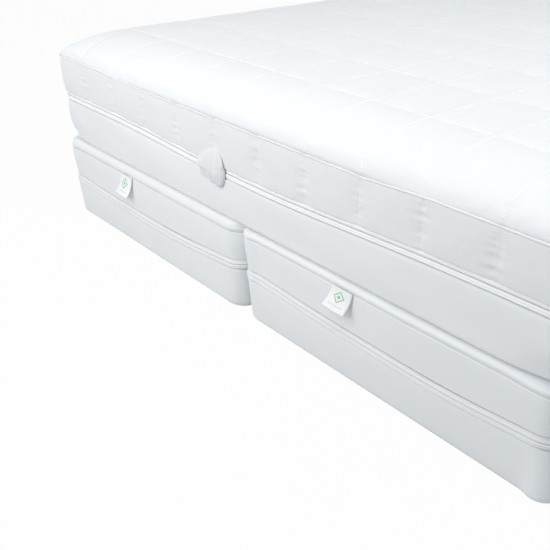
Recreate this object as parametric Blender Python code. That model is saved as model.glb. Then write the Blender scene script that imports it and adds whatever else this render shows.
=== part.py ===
"""A queen mattress on a split foundation, each zipped into its own fabric encasement.

Everything is in metres, +Z up. The set stands on Z = 0 and is centred on the origin, with its
foot towards -Y. A quilted encasement holds the mattress; two smooth ones hold the foundations.
"""

import math

import bmesh
import bpy
from mathutils import Vector

for leftover in list(bpy.data.objects):
    bpy.data.objects.remove(leftover, do_unlink=True)

# The whole set
BED_WIDTH = 1.530  # over the quilted top's rim, its widest
BED_LENGTH = 2.030
FOUNDATION_HEIGHT = 0.206
MATTRESS_SIDE = 0.220  # from the mattress's underside to its top seam
CROWN = 0.056  # how far the quilted top rises above that seam
CLEARANCE = 0.0003  # between pieces that touch

# The mattress encasement, with every `out` measured outwards from the set's own outline,
# which the quilted top's rim overhangs
MATTRESS_CORNER = 0.034
STITCH_GAP_X = 0.1350  # between the quilt's stitch lines, across the bed
STITCH_GAP_Y = 0.184  # and along it
STITCH_LINES = 10  # each way
SHOULDER = 0.142  # how far in from its rim the top is round
QUILT_THICKNESS = 0.006
QUILT_PUFF = 0.006
TOP_RIM_OUT = 0.018
EDGE_SEAM_SIZE = 0.0040
BORDER_THICKNESS = 0.005
BORDER_PUFF = 0.0018
LIP_OUT = 0.014
ZIP_TOP_HEIGHT = 0.1340  # of the quilted border's lower lip, above the underside
ZIP_BAND = 0.0205
MATTRESS_TAPE_OUT = 0.008
MATTRESS_COIL_HEIGHT = 0.0074
KNIT_THICKNESS = 0.0015
LOWER_BULGE_OUT = 0.009
LOWER_FOOT_OUT = -0.004
LOWER_FOOT_RADIUS = 0.012
ZIP_SAG = 0.019  # how far the zip hangs down between the corners
EDGE_SAG = 0.007
FLAT_SHARE = 0.45  # of each half side, in the middle, where the sag is even
LEVEL_SHARE = 0.68  # and from where on, towards the corners, there is none

# Inside the mattress encasement
FILL_EASE = 0.0008  # between an encasement and what fills it
CORE_HEIGHT = 0.135
TRANSITION_HEIGHT = 0.050
TICKING_THICKNESS = 0.0012
QUILT_EASE = 0.004  # between the top foam and the quilted top, which is loose there

# The foundation encasements, with every `out` measured from each foundation's own outline
PAIR_GAP = 0.021  # between the two outlines
FOUNDATION_CORNER = 0.040
ROLL_OUT = 0.010
ROLL_HEIGHT = 0.0185  # from the top down to the seam under the roll
TOP_SEAM_SIZE = 0.0032
FOUNDATION_ZIP_HEIGHT = 0.110
FOUNDATION_ZIP_BAND = 0.018
FOUNDATION_ZIP_SAG = 0.010
FOUNDATION_TAPE_OUT = 0.004
FOUNDATION_COIL_HEIGHT = 0.0056
COVER_THICKNESS = 0.0015
SIDE_OUT = 0.007
HEM_HEIGHT = 0.014  # where the lower border starts to turn in
HEM_OUT = 0.003
TUCK_OUT = -0.006
LABEL_WIDTH = 0.056
LABEL_LENGTH = 0.056
LABEL_THICKNESS = 0.0006
LABEL_CURL = 0.013
LABEL_OFFSET = -0.073  # of each label from its foundation's middle

# Inside the foundation encasements
PAD_THICKNESS = 0.012
DECK_THICKNESS = 0.004
RAIL_WIDTH = 0.032
SLAT_WIDTH = 0.095
SLAT_THICKNESS = 0.019
SLATS = 3

# The zips
TAPE_THICKNESS = 0.001
COIL_DEPTH = 0.0032
COIL_BEHIND = 0.0010  # how far the coil lies behind the tapes' faces
SLIDER_LENGTH = 0.015
SLIDER_WALL = 0.0012
SLIDER_EASE = 0.0004
BAIL_HEIGHT = 0.0030
BAIL_WIRE = 0.0016
BAIL_SPAN = 0.009
PULL_LENGTH = 0.021
PULL_WIDTH = 0.0065
PULL_THICKNESS = 0.0012
PULL_EASE = 0.0005
STOP_LENGTH = 0.004
STOP_GAP = 0.0010  # between the end stop and the slider when it is shut

# The hood over the mattress encasement's slider
HOOD_MIDDLE = -0.080  # its place along the foot
HOOD_WIDTH = 0.086
HOOD_RISE = 0.035  # from the quilted border's lip up to the top of the hood's arch
HOOD_DROP = 0.049  # and from the lip down to its hem
HOOD_THICKNESS = 0.002
HOOD_BULGE = 0.015  # beyond the quilted border, in the middle
HOOD_END_BULGE = 0.007
HOOD_HEM_LIFT = 0.008  # at the ends of the hem
ELASTIC_SIZE = 0.003

# Where the sliders stand when the zips are shut, from the middle of their run
MATTRESS_SLIDER_OFFSET = HOOD_MIDDLE
FOUNDATION_SLIDER_OFFSET = -0.120


def finish(name, colour, roughness, metallic=0.0):
    """A plain material of one colour."""
    material = bpy.data.materials.new(name)
    material.use_nodes = True
    shader = material.node_tree.nodes["Principled BSDF"]
    shader.inputs["Base Color"].default_value = (*colour, 1.0)
    shader.inputs["Roughness"].default_value = roughness
    shader.inputs["Metallic"].default_value = metallic
    return material


QUILT = finish("quilted_knit", (0.86, 0.88, 0.90), 0.85)
KNIT = finish("smooth_knit", (0.80, 0.83, 0.86), 0.75)
TAPE = finish("zip_tape", (0.88, 0.89, 0.91), 0.70)
COIL = finish("zip_coil", (0.90, 0.91, 0.92), 0.40)
METAL = finish("zip_metal", (0.62, 0.63, 0.65), 0.30, 1.0)
LABEL = finish("label_satin", (0.93, 0.94, 0.93), 0.55)
ELASTIC = finish("elastic", (0.85, 0.85, 0.86), 0.80)
FOAM = finish("foam", (0.90, 0.87, 0.72), 0.95)
WOOD = finish("pine", (0.62, 0.46, 0.29), 0.65)
BOARD = finish("fibreboard", (0.45, 0.33, 0.22), 0.80)


def model(name, mesh, material, smooth=True, turn_out=True):
    """Makes the bmesh an object of its own, with its faces pointing out."""
    if turn_out:
        bmesh.ops.recalc_face_normals(mesh, faces=mesh.faces)
    data = bpy.data.meshes.new(name)
    mesh.to_mesh(data)
    mesh.free()
    if smooth:
        data.shade_smooth()
        data.set_sharp_from_angle(angle=math.radians(40))
    data.materials.append(material)
    piece = bpy.data.objects.new(name, data)
    bpy.context.scene.collection.objects.link(piece)
    return piece


def ease(share):
    """A smooth step from 0 to 1."""
    share = min(max(share, 0), 1)
    return share * share * (3 - 2 * share)


class Plan:
    """A round-cornered rectangle seen from above, and the places of the points round its rim."""

    def __init__(self, middle_x, half_x, half_y, corner, stations_x, stations_y):
        self.middle_x = middle_x
        self.half_x = half_x
        self.half_y = half_y
        self.corner = corner
        self.xs = stations_x
        self.ys = stations_y

    def place(self, x, y, out=0.0):
        """Moves a point of the square outline onto the round one, `out` beyond it at the rim."""
        over, run = [], []
        for value, half in ((x, self.half_x), (y, self.half_y)):
            straight = half - self.corner
            over.append(max(abs(value) - straight, 0) / self.corner)
            run.append(min(abs(value), straight))
        reach = self.corner + out
        far_x = run[0] + reach * over[0] * math.sqrt(1 - over[1] ** 2 / 2)
        far_y = run[1] + reach * over[1] * math.sqrt(1 - over[0] ** 2 / 2)
        return self.middle_x + math.copysign(far_x, x), math.copysign(far_y, y)

    def rim(self):
        """Points of the square outline, anticlockwise from the foot's left corner."""
        foot = [(x, -self.half_y) for x in self.xs[:-1]]
        right = [(self.half_x, y) for y in self.ys[:-1]]
        head = [(x, self.half_y) for x in reversed(self.xs[1:])]
        left = [(-self.half_x, y) for y in reversed(self.ys[1:])]
        return foot + right + head + left

    def sag(self, x, y):
        """1 in the middle of each side, 0 at the corners."""
        along = min(abs(x) / self.half_x, abs(y) / self.half_y)
        return 1 - ease((along - FLAT_SHARE) / (LEVEL_SHARE - FLAT_SHARE))


def mirrored(places):
    """A list of places on one side of the middle, and the same on the other, in order."""
    return sorted([-place for place in places] + list(places))


def corner_stations(half, corner, middle):
    """Stations that follow the corner's arc, then the ones given for the straight."""
    corner_shares = (0.0, 0.35, 0.7, 1.0)
    ends = [half - share * corner for share in corner_shares]
    return mirrored(ends + [half * share for share in middle])


def shoulder_stations(half):
    """Stations at the rim and down the round shoulder inside it."""
    shoulder_shares = (0.0, 0.25, 0.55)
    return [half - share * SHOULDER for share in shoulder_shares]


def quilt_stations(half, stitch_gap):
    """The rows of the shoulder, the stitch lines, and the middles of the cells between them."""
    half_gaps = range(1, STITCH_LINES)
    cells = [step * stitch_gap / 2 for step in half_gaps]
    return sorted(mirrored(shoulder_stations(half) + cells) + [0.0])


def ring(name, plan, rows, material, puffed=0):
    """A closed band round the plan. Each row is (out, height, sag), in order round its section.

    The last `puffed` rows swell between the quilt's stitch lines.
    """
    mesh = bmesh.new()
    loops = []
    for number, (out, height, sag) in enumerate(rows):
        loop = []
        for x, y in plan.rim():
            swell = border_puff(x, y) if number >= len(rows) - puffed else 0
            where = plan.place(x, y, out + swell)
            loop.append(mesh.verts.new((*where, height - sag * plan.sag(x, y))))
        loops.append(loop)
    for one, two in zip(loops, loops[1:] + loops[:1]):
        for a, b, c, d in zip(one, one[1:] + one[:1], two[1:] + two[:1], two):
            mesh.faces.new((a, b, c, d))
    return model(name, mesh, material)


def slab_mesh(plan, rows):
    """A closed solid over the plan: the rows go up its side, and its ends are flat."""
    mesh = bmesh.new()
    loops = []
    for out, height in rows:
        places = [plan.place(x, y, out) for x, y in plan.rim()]
        loops.append([mesh.verts.new((*where, height)) for where in places])
    for low, high in zip(loops, loops[1:]):
        for a, b, c, d in zip(low, low[1:] + low[:1], high[1:] + high[:1], high):
            mesh.faces.new((a, b, c, d))
    mesh.faces.new(loops[0])
    mesh.faces.new(loops[-1])
    return mesh


def slab(name, plan, rows, material):
    """The same solid as a piece of its own."""
    return model(name, slab_mesh(plan, rows), material)


def cut_off(mesh, point, away):
    """Saws the solid flat through a point, and drops the side that `away` points to."""
    everything = mesh.verts[:] + mesh.edges[:] + mesh.faces[:]
    cut = bmesh.ops.bisect_plane(mesh, geom=everything, plane_co=point, plane_no=away, clear_outer=True)
    edges = [part for part in cut["geom_cut"] if isinstance(part, bmesh.types.BMEdge)]
    bmesh.ops.holes_fill(mesh, edges=edges, sides=0)


def close_sheets(mesh, upper, under):
    """Joins two grids of points into one closed sheet. Rows run along X, and upper is outside."""
    def faces(sheet):
        for low, high in zip(sheet, sheet[1:]):
            yield from zip(low, low[1:], high[1:], high)

    def rim(sheet):
        right = [row[-1] for row in sheet[:-1]]
        left = [row[0] for row in sheet[:0:-1]]
        return sheet[0][:-1] + right + sheet[-1][:0:-1] + left

    for corners in faces(upper):
        mesh.faces.new(corners)
    for corners in faces(under):
        mesh.faces.new(corners[::-1])
    outer, inner = rim(upper), rim(under)
    for a, b, c, d in zip(outer, outer[1:] + outer[:1], inner[1:] + inner[:1], inner):
        mesh.faces.new((b, a, d, c))


def block(mesh, low, high):
    """A box between two corners, added to the bmesh."""
    size = [b - a for a, b in zip(low, high)]
    middle = [(a + b) / 2 for a, b in zip(low, high)]
    made = bmesh.ops.create_cube(mesh, size=1)["verts"]
    bmesh.ops.scale(mesh, vec=size, verts=made)
    bmesh.ops.translate(mesh, vec=middle, verts=made)
    return made


def drawn_section(name, outline, front_y, back_y, material, hole=None):
    """An outline in X and Z, drawn from `front_y` to `back_y`; a hole has as many points."""
    mesh = bmesh.new()
    layers = []
    for y in (front_y, back_y):
        layers.append([[mesh.verts.new((x, y, z)) for x, z in line]
                       for line in ([outline, hole] if hole else [outline])])
    for side in range(len(layers[0])):
        near, far = layers[0][side], layers[1][side]
        for a, b, c, d in zip(near, near[1:] + near[:1], far[1:] + far[:1], far):
            mesh.faces.new((a, b, c, d))
    for lines in layers:
        if hole:
            outer, inner = lines
            for a, b, c, d in zip(outer, outer[1:] + outer[:1], inner[1:] + inner[:1], inner):
                mesh.faces.new((a, b, c, d))
        else:
            mesh.faces.new(lines[0])
    return model(name, mesh, material)


# The mattress encasement's levels
UNDERSIDE = FOUNDATION_HEIGHT + CLEARANCE
EDGE_LEVEL = UNDERSIDE + MATTRESS_SIDE
LIP_LEVEL = UNDERSIDE + ZIP_TOP_HEIGHT
BAND_FOOT_LEVEL = LIP_LEVEL - ZIP_BAND
MATTRESS_COIL_LEVEL = LIP_LEVEL - ZIP_BAND / 2

# The set's own outline
HALF_WIDTH = BED_WIDTH / 2 - TOP_RIM_OUT
HALF_LENGTH = BED_LENGTH / 2 - TOP_RIM_OUT

MATTRESS = Plan(0.0, HALF_WIDTH, HALF_LENGTH, MATTRESS_CORNER,
                quilt_stations(HALF_WIDTH, STITCH_GAP_X), quilt_stations(HALF_LENGTH, STITCH_GAP_Y))


def nearest_stitch(value, gap):
    """0 on a stitch line, 1 in the middle of the cell between two."""
    lines_out = (STITCH_LINES - 1) / 2
    step = value / gap + lines_out
    if step < 0 or step > STITCH_LINES - 1:
        return 0.5
    return 1 - abs(2 * (step % 1) - 1)


def shoulder_rise(inwards):
    """The share of the crown that the top has reached, this far in from its rim."""
    roundness = 2.2
    share = min(max(inwards / SHOULDER, 0), 1)
    return (1 - (1 - share) ** roundness) ** (1 / roundness)


def quilted_top():
    """The crowned top: puffed cells between sunk stitch lines, and a round shoulder to its rim."""
    mesh = bmesh.new()
    plan = MATTRESS

    def corner(x, y, under):
        rise = shoulder_rise(plan.half_x - abs(x)) * shoulder_rise(plan.half_y - abs(y))
        cell = nearest_stitch(x, STITCH_GAP_X) * nearest_stitch(y, STITCH_GAP_Y)
        sag = EDGE_SAG * plan.sag(x, y) * (1 - rise)
        height = EDGE_LEVEL + CROWN * rise - sag + QUILT_PUFF * cell * rise
        out = TOP_RIM_OUT
        if under:
            height -= (QUILT_THICKNESS + QUILT_PUFF * cell) * rise
            out -= QUILT_THICKNESS
        return mesh.verts.new((*plan.place(x, y, out), height))

    upper = [[corner(x, y, False) for x in plan.xs] for y in plan.ys]
    under = [[corner(x, y, True) for x in plan.xs] for y in plan.ys]
    close_sheets(mesh, upper, under)
    return model("quilted_top", mesh, QUILT, turn_out=False)


BORDER_TOP = EDGE_LEVEL - EDGE_SEAM_SIZE - CLEARANCE
# The quilted border's face, from its lip up: how far out, how high, and how far it sags there
BORDER_MIDDLE = ((TOP_RIM_OUT + LIP_OUT) / 2 + BORDER_PUFF, (BORDER_TOP + LIP_LEVEL) / 2,
                 (EDGE_SAG + ZIP_SAG) / 2)
BORDER_FACE = [(LIP_OUT, LIP_LEVEL, ZIP_SAG), BORDER_MIDDLE,
               (TOP_RIM_OUT - BORDER_PUFF, BORDER_TOP, EDGE_SAG)]


def border_puff(x, y):
    """How far the quilted border swells at a point of the rim: out between stitches, in on them."""
    along, gap = (x, STITCH_GAP_X) if abs(y) == MATTRESS.half_y else (y, STITCH_GAP_Y)
    return BORDER_PUFF * (2 * nearest_stitch(along, gap) - 1)


def quilted_side():
    """The quilted border: it leans in towards its lower lip, and dips at each stitch line."""
    back = [(TOP_RIM_OUT - BORDER_THICKNESS, BORDER_TOP, EDGE_SAG),
            (LIP_OUT - BORDER_THICKNESS, LIP_LEVEL, ZIP_SAG)]
    return ring("quilted_border", MATTRESS, back + BORDER_FACE, QUILT, puffed=len(BORDER_FACE))


def edge_seam():
    """The bound seam that joins the quilted top to its border."""
    size = EDGE_SEAM_SIZE
    high = EDGE_LEVEL - CLEARANCE
    middle_out = TOP_RIM_OUT - size / 2
    middle, low = high - size / 2, high - size + CLEARANCE
    rows = [(middle_out, high, EDGE_SAG), (middle_out - size, middle, EDGE_SAG),
            (middle_out, low, EDGE_SAG), (middle_out + size, middle, EDGE_SAG)]
    return ring("edge_seam", MATTRESS, rows, QUILT)


def zip_rings(prefix, plan, coil_level, band, coil_height, tape_out, sag):
    """Two tapes with the closed coil between them."""
    half_coil = coil_height / 2
    low, high = coil_level - band / 2, coil_level + band / 2
    tape_back = tape_out - TAPE_THICKNESS
    spans = {"zip_upper_tape": (coil_level + half_coil + CLEARANCE, high - CLEARANCE),
             "zip_lower_tape": (low + CLEARANCE, coil_level - half_coil - CLEARANCE)}
    for name, (foot, top) in spans.items():
        rows = [(out, height, sag) for out, height in
                ((tape_back, top), (tape_back, foot), (tape_out, foot), (tape_out, top))]
        ring(prefix + name, plan, rows, TAPE)
    coil_back = tape_out - COIL_BEHIND
    coil_face = coil_back + COIL_DEPTH
    foot, top = coil_level - half_coil, coil_level + half_coil
    chamfer_share = 0.25
    chamfer = chamfer_share * COIL_DEPTH
    rows = [(coil_back, top, sag), (coil_back, foot, sag), (coil_face - chamfer, foot, sag),
            (coil_face, foot + chamfer, sag), (coil_face, top - chamfer, sag),
            (coil_face - chamfer, top, sag)]
    ring(prefix + "zip_coil", plan, rows, COIL)


# What fills the mattress encasement comes this close to it, from the foot up
FILL_FOOT = UNDERSIDE + KNIT_THICKNESS + CLEARANCE
LOWER_MIDDLE = (FILL_FOOT + LOWER_FOOT_RADIUS + BAND_FOOT_LEVEL) / 2
TAPE_BACK = MATTRESS_TAPE_OUT - TAPE_THICKNESS / 2 - KNIT_THICKNESS
FILL_FACE = [(LOWER_FOOT_OUT, FILL_FOOT), (LOWER_BULGE_OUT - KNIT_THICKNESS, LOWER_MIDDLE),
             (TAPE_BACK, BAND_FOOT_LEVEL), (TAPE_BACK, LIP_LEVEL),
             (TOP_RIM_OUT - BORDER_THICKNESS, EDGE_LEVEL)]


def mattress_lower_border():
    """The smooth knit border below the zip: it swells a little, and its foot is rounded."""
    top = BAND_FOOT_LEVEL - CLEARANCE
    foot = FILL_FOOT
    round_top = foot + LOWER_FOOT_RADIUS
    middle = LOWER_MIDDLE
    wall = KNIT_THICKNESS
    top_out = TAPE_BACK + wall
    rows = [(top_out - wall, top, ZIP_SAG), (LOWER_BULGE_OUT - wall, middle, ZIP_SAG / 2),
            (LOWER_FOOT_OUT, foot, 0), (LOWER_FOOT_OUT + wall, foot, 0),
            ((LOWER_BULGE_OUT + LOWER_FOOT_OUT) / 2 + wall, round_top, 0),
            (LOWER_BULGE_OUT, middle, ZIP_SAG / 2), (top_out, top, ZIP_SAG)]
    ring("lower_border", MATTRESS, rows, KNIT)


def mattress_bottom():
    """The flat panel that the lower border is sewn to, under the mattress."""
    out = LOWER_FOOT_OUT + KNIT_THICKNESS
    slab("bottom_panel", MATTRESS, [(out, UNDERSIDE), (out, UNDERSIDE + KNIT_THICKNESS)], KNIT)


def fill_rows(low, high, depth):
    """Rows up the filling's side between two levels, `depth` behind its ticking's face."""
    def out_at(level):
        for (out_a, level_a), (out_b, level_b) in zip(FILL_FACE, FILL_FACE[1:]):
            if level <= level_b:
                break
        return out_a + (out_b - out_a) * (level - level_a) / (level_b - level_a)

    levels = [low] + [level for _, level in FILL_FACE if low < level < high] + [high]
    return [(out_at(level) - FILL_EASE - depth, level) for level in levels]


def mattress_inside():
    """Three foam layers in a ticking border. The top one follows the crown."""
    core_top = FILL_FOOT + CORE_HEIGHT
    transition_foot = core_top + CLEARANCE
    transition_top = transition_foot + TRANSITION_HEIGHT
    comfort_foot = transition_top + CLEARANCE
    half_x, half_y = MATTRESS.half_x, MATTRESS.half_y
    plan = Plan(0.0, half_x, half_y, MATTRESS_CORNER,
                mirrored(shoulder_stations(half_x)), mirrored(shoulder_stations(half_y)))
    depth = TICKING_THICKNESS + CLEARANCE
    slab("support_core", plan, fill_rows(FILL_FOOT, core_top, depth), FOAM)
    slab("transition_foam", plan, fill_rows(transition_foot, transition_top, depth), FOAM)
    face = fill_rows(FILL_FOOT, transition_top, 0)
    back = fill_rows(FILL_FOOT, transition_top, TICKING_THICKNESS)
    ring("ticking_border", plan, [(out, level, 0) for out, level in back[::-1] + face], KNIT)

    rim_level = EDGE_LEVEL - EDGE_SAG
    side = fill_rows(comfort_foot, rim_level, depth)
    foot_out, rim_out = side[0][0], side[-1][0] - QUILT_EASE
    full_rise = CROWN + EDGE_SAG - QUILT_THICKNESS - QUILT_EASE
    mesh = bmesh.new()
    loops = [[mesh.verts.new((*plan.place(x, y, foot_out), comfort_foot)) for x, y in plan.rim()]]
    shoulder_shares = (0.0, 0.25, 0.55, 1.0)
    for share in shoulder_shares:
        inwards = share * SHOULDER
        loop = []
        for x, y in plan.rim():
            in_x, in_y = x * (1 - inwards / half_x), y * (1 - inwards / half_y)
            rise = shoulder_rise(half_x - abs(in_x)) * shoulder_rise(half_y - abs(in_y))
            where = plan.place(in_x, in_y, rim_out)
            loop.append(mesh.verts.new((*where, rim_level + full_rise * rise)))
        loops.append(loop)
    for low, high in zip(loops, loops[1:]):
        for a, b, c, d in zip(low, low[1:] + low[:1], high[1:] + high[:1], high):
            mesh.faces.new((a, b, c, d))
    mesh.faces.new(loops[0])
    mesh.faces.new(loops[-1])
    model("comfort_foam", mesh, FOAM)


def on_face(piece, plan, x, out, level, towards_head):
    """Stands a piece, made with its back at the origin and its front towards -Y, on one end face."""
    depth = plan.half_y + out
    piece.location = (plan.middle_x + x, depth if towards_head else -depth, level)
    piece.rotation_euler = (0, 0, math.pi if towards_head else 0)
    return piece


def channel(mesh, length, coil_height, tape_to_coil):
    """A channel over the coil, open at its back: a face plate with a flange above and below."""
    half_x = length / 2
    half_z = coil_height / 2 + SLIDER_EASE
    flange_foot = -CLEARANCE
    plate_back = -(tape_to_coil + SLIDER_EASE)
    plate_face = plate_back - SLIDER_WALL
    outer_z = half_z + SLIDER_WALL
    section = [(flange_foot, half_z), (flange_foot, outer_z), (plate_face, outer_z), (plate_face, -outer_z),
               (flange_foot, -outer_z), (flange_foot, -half_z), (plate_back, -half_z), (plate_back, half_z)]
    ends = [[mesh.verts.new((x, y, z)) for y, z in section] for x in (-half_x, half_x)]
    near, far = ends
    for a, b, c, d in zip(near, near[1:] + near[:1], far[1:] + far[:1], far):
        mesh.faces.new((a, b, c, d))
    for end in ends:
        mesh.faces.new(end)
    return plate_face


def zip_slider(name, plan, x, level, coil_height, tape_out, towards_head):
    """A slider: the channel with a bail on its face, which the pull tab hangs from."""
    mesh = bmesh.new()
    tape_to_coil = COIL_DEPTH - COIL_BEHIND
    face = channel(mesh, SLIDER_LENGTH, coil_height, tape_to_coil)
    slider = model(name, mesh, METAL, smooth=False)

    wire, span = BAIL_WIRE, BAIL_SPAN
    bail_mesh = bmesh.new()
    bail_in = face + SLIDER_WALL / 2
    bar_back = face - BAIL_HEIGHT
    bar_face = bar_back - wire
    half, half_wire = span / 2, wire / 2
    arch = [(-half, bail_in), (-half, bar_face + half_wire), (-half + half_wire, bar_face),
            (half - half_wire, bar_face), (half, bar_face + half_wire), (half, bail_in),
            (half - wire, bail_in), (half - wire, bar_back), (wire - half, bar_back), (wire - half, bail_in)]
    near, far = [[bail_mesh.verts.new((along, depth, z)) for along, depth in arch]
                 for z in (-half_wire, half_wire)]
    for a, b, c, d in zip(near, near[1:] + near[:1], far[1:] + far[:1], far):
        bail_mesh.faces.new((a, b, c, d))
    for end in (near, far):
        bail_mesh.faces.new(end)
    bail = model(name + "_bail", bail_mesh, METAL, smooth=False)
    bail.hide_render = True
    bail.display_type = "WIRE"
    join = slider.modifiers.new("bail", "BOOLEAN")
    join.operation = "UNION"
    join.object = bail
    for piece in (slider, bail):
        on_face(piece, plan, x, tape_out, level, towards_head)
    return face


def zip_pull(name, plan, x, level, tape_out, plate_face, towards_head):
    """A tapered tab whose eye hangs on the bail's leg. Its origin is on that leg."""
    steps = 20
    half_width = PULL_WIDTH / 2
    leg_reach = BAIL_WIRE / 2 * math.sqrt(2)
    eye = leg_reach + PULL_EASE
    foot_share = 0.8
    outline, hole = [], []
    for step in range(steps):
        turn = 2 * math.pi * step / steps
        across, up = math.cos(turn), math.sin(turn)
        if up >= 0:
            outline.append((half_width * across, half_width * up))
        else:
            foot = PULL_LENGTH - half_width * (1 + foot_share)
            outline.append((foot_share * half_width * across, foot_share * half_width * up - foot))
        hole.append((eye * across, eye * up))
    back = plate_face - (BAIL_HEIGHT - PULL_THICKNESS) / 2
    pull = drawn_section(name, outline, back - PULL_THICKNESS, back, METAL, hole)
    leg = BAIL_SPAN / 2 - BAIL_WIRE / 2
    return on_face(pull, plan, x - leg if towards_head else x + leg, tape_out, level, towards_head)


def zip_stop(name, plan, x, level, coil_height, tape_out, towards_head):
    """The clip crimped over the coil where the zip ends."""
    mesh = bmesh.new()
    channel(mesh, STOP_LENGTH, coil_height, COIL_DEPTH - COIL_BEHIND)
    stop = model(name, mesh, METAL, smooth=False)
    reach = SLIDER_LENGTH / 2 + STOP_GAP + STOP_LENGTH / 2
    return on_face(stop, plan, x - reach, tape_out, level, towards_head)


def zip_hardware(prefix, plan, offset, coil_level, coil_height, tape_out, towards_head):
    """The slider, its pull and the end stop, on the level stretch of one end face."""
    where = (plan, offset, coil_level, coil_height, tape_out, towards_head)
    plate_face = zip_slider(prefix + "zip_slider", *where)
    zip_pull(prefix + "zip_pull", plan, offset, coil_level, tape_out, plate_face, towards_head)
    zip_stop(prefix + "zip_end_stop", *where)


def border_face_out(x, level):
    """How far out the quilted border's face stands at the foot, where its sag is even."""
    for (out_a, high_a, sag_a), (out_b, high_b, sag_b) in zip(BORDER_FACE, BORDER_FACE[1:]):
        level_a, level_b = high_a - sag_a, high_b - sag_b
        if level <= level_b:
            break
    share = (level - level_a) / (level_b - level_a)
    return out_a + (out_b - out_a) * share + border_puff(x, -MATTRESS.half_y)


def hood_point(across, down, front):
    """A point of the hood: across is -1 to 1, down is 0 at the sewn arch and 1 at the hem."""
    seat = 2 * CLEARANCE
    lip = LIP_LEVEL - ZIP_SAG
    arch = 1 - across * across
    top = lip + seat + HOOD_RISE * arch
    foot = lip - HOOD_DROP + HOOD_HEM_LIFT * (1 - arch)
    x = HOOD_MIDDLE + across * HOOD_WIDTH / 2
    bulge = HOOD_END_BULGE + (HOOD_BULGE - HOOD_END_BULGE) * arch
    fullest_share = 0.62
    fullness = math.sin(math.pi / 2 * min(down / fullest_share, 1))
    out = border_face_out(x, top) + seat + bulge * fullness + (HOOD_THICKNESS if front else 0)
    return x, -(MATTRESS.half_y + out), top + (foot - top) * down


def zip_hood():
    """A fabric hood sewn along an arch above the zip, full in the middle and open underneath.

    It and the elastic in its hem have their origin on the line that they lift about.
    """
    columns, rows = 10, 6
    axis = hood_point(0, 0, front=True)

    def from_axis(across, down, front):
        return [a - b for a, b in zip(hood_point(across, down, front), axis)]

    mesh = bmesh.new()

    def sheet(front):
        return [[mesh.verts.new(from_axis(2 * column / columns - 1, 1 - row / rows, front))
                 for column in range(columns + 1)] for row in range(rows + 1)]

    close_sheets(mesh, sheet(True), sheet(False))
    hood = model("zip_hood", mesh, QUILT, turn_out=False)

    curve = bpy.data.curves.new("hood_elastic", "CURVE")
    curve.dimensions = "3D"
    curve.bevel_depth = ELASTIC_SIZE / 2
    curve.bevel_resolution = 1
    curve.use_fill_caps = True
    path = [from_axis(2 * column / columns - 1, 1.0, False) for column in range(1, columns)]
    line = curve.splines.new("POLY")
    line.points.add(len(path) - 1)
    for point, (x, y, z) in zip(line.points, path):
        point.co = (x, y + ELASTIC_SIZE / 2 + 2 * CLEARANCE, z + ELASTIC_SIZE, 1)
    curve.materials.append(ELASTIC)
    elastic = bpy.data.objects.new("hood_elastic", curve)
    bpy.context.scene.collection.objects.link(elastic)
    for piece in (hood, elastic):
        piece.location = axis


def mattress_encasement():
    """The quilted encasement, its zip and hood, and the mattress in it."""
    quilted_top()
    edge_seam()
    quilted_side()
    zip_rings("", MATTRESS, MATTRESS_COIL_LEVEL, ZIP_BAND, MATTRESS_COIL_HEIGHT, MATTRESS_TAPE_OUT,
              ZIP_SAG)
    mattress_lower_border()
    mattress_bottom()
    mattress_inside()
    zip_hardware("", MATTRESS, MATTRESS_SLIDER_OFFSET, MATTRESS_COIL_LEVEL - ZIP_SAG,
                 MATTRESS_COIL_HEIGHT, MATTRESS_TAPE_OUT, towards_head=False)
    zip_hood()


# The top panel's roll reaches from the top halfway down to its seam
ROLL_RADIUS = (ROLL_HEIGHT - TOP_SEAM_SIZE / 2 - CLEARANCE) / 2


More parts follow.
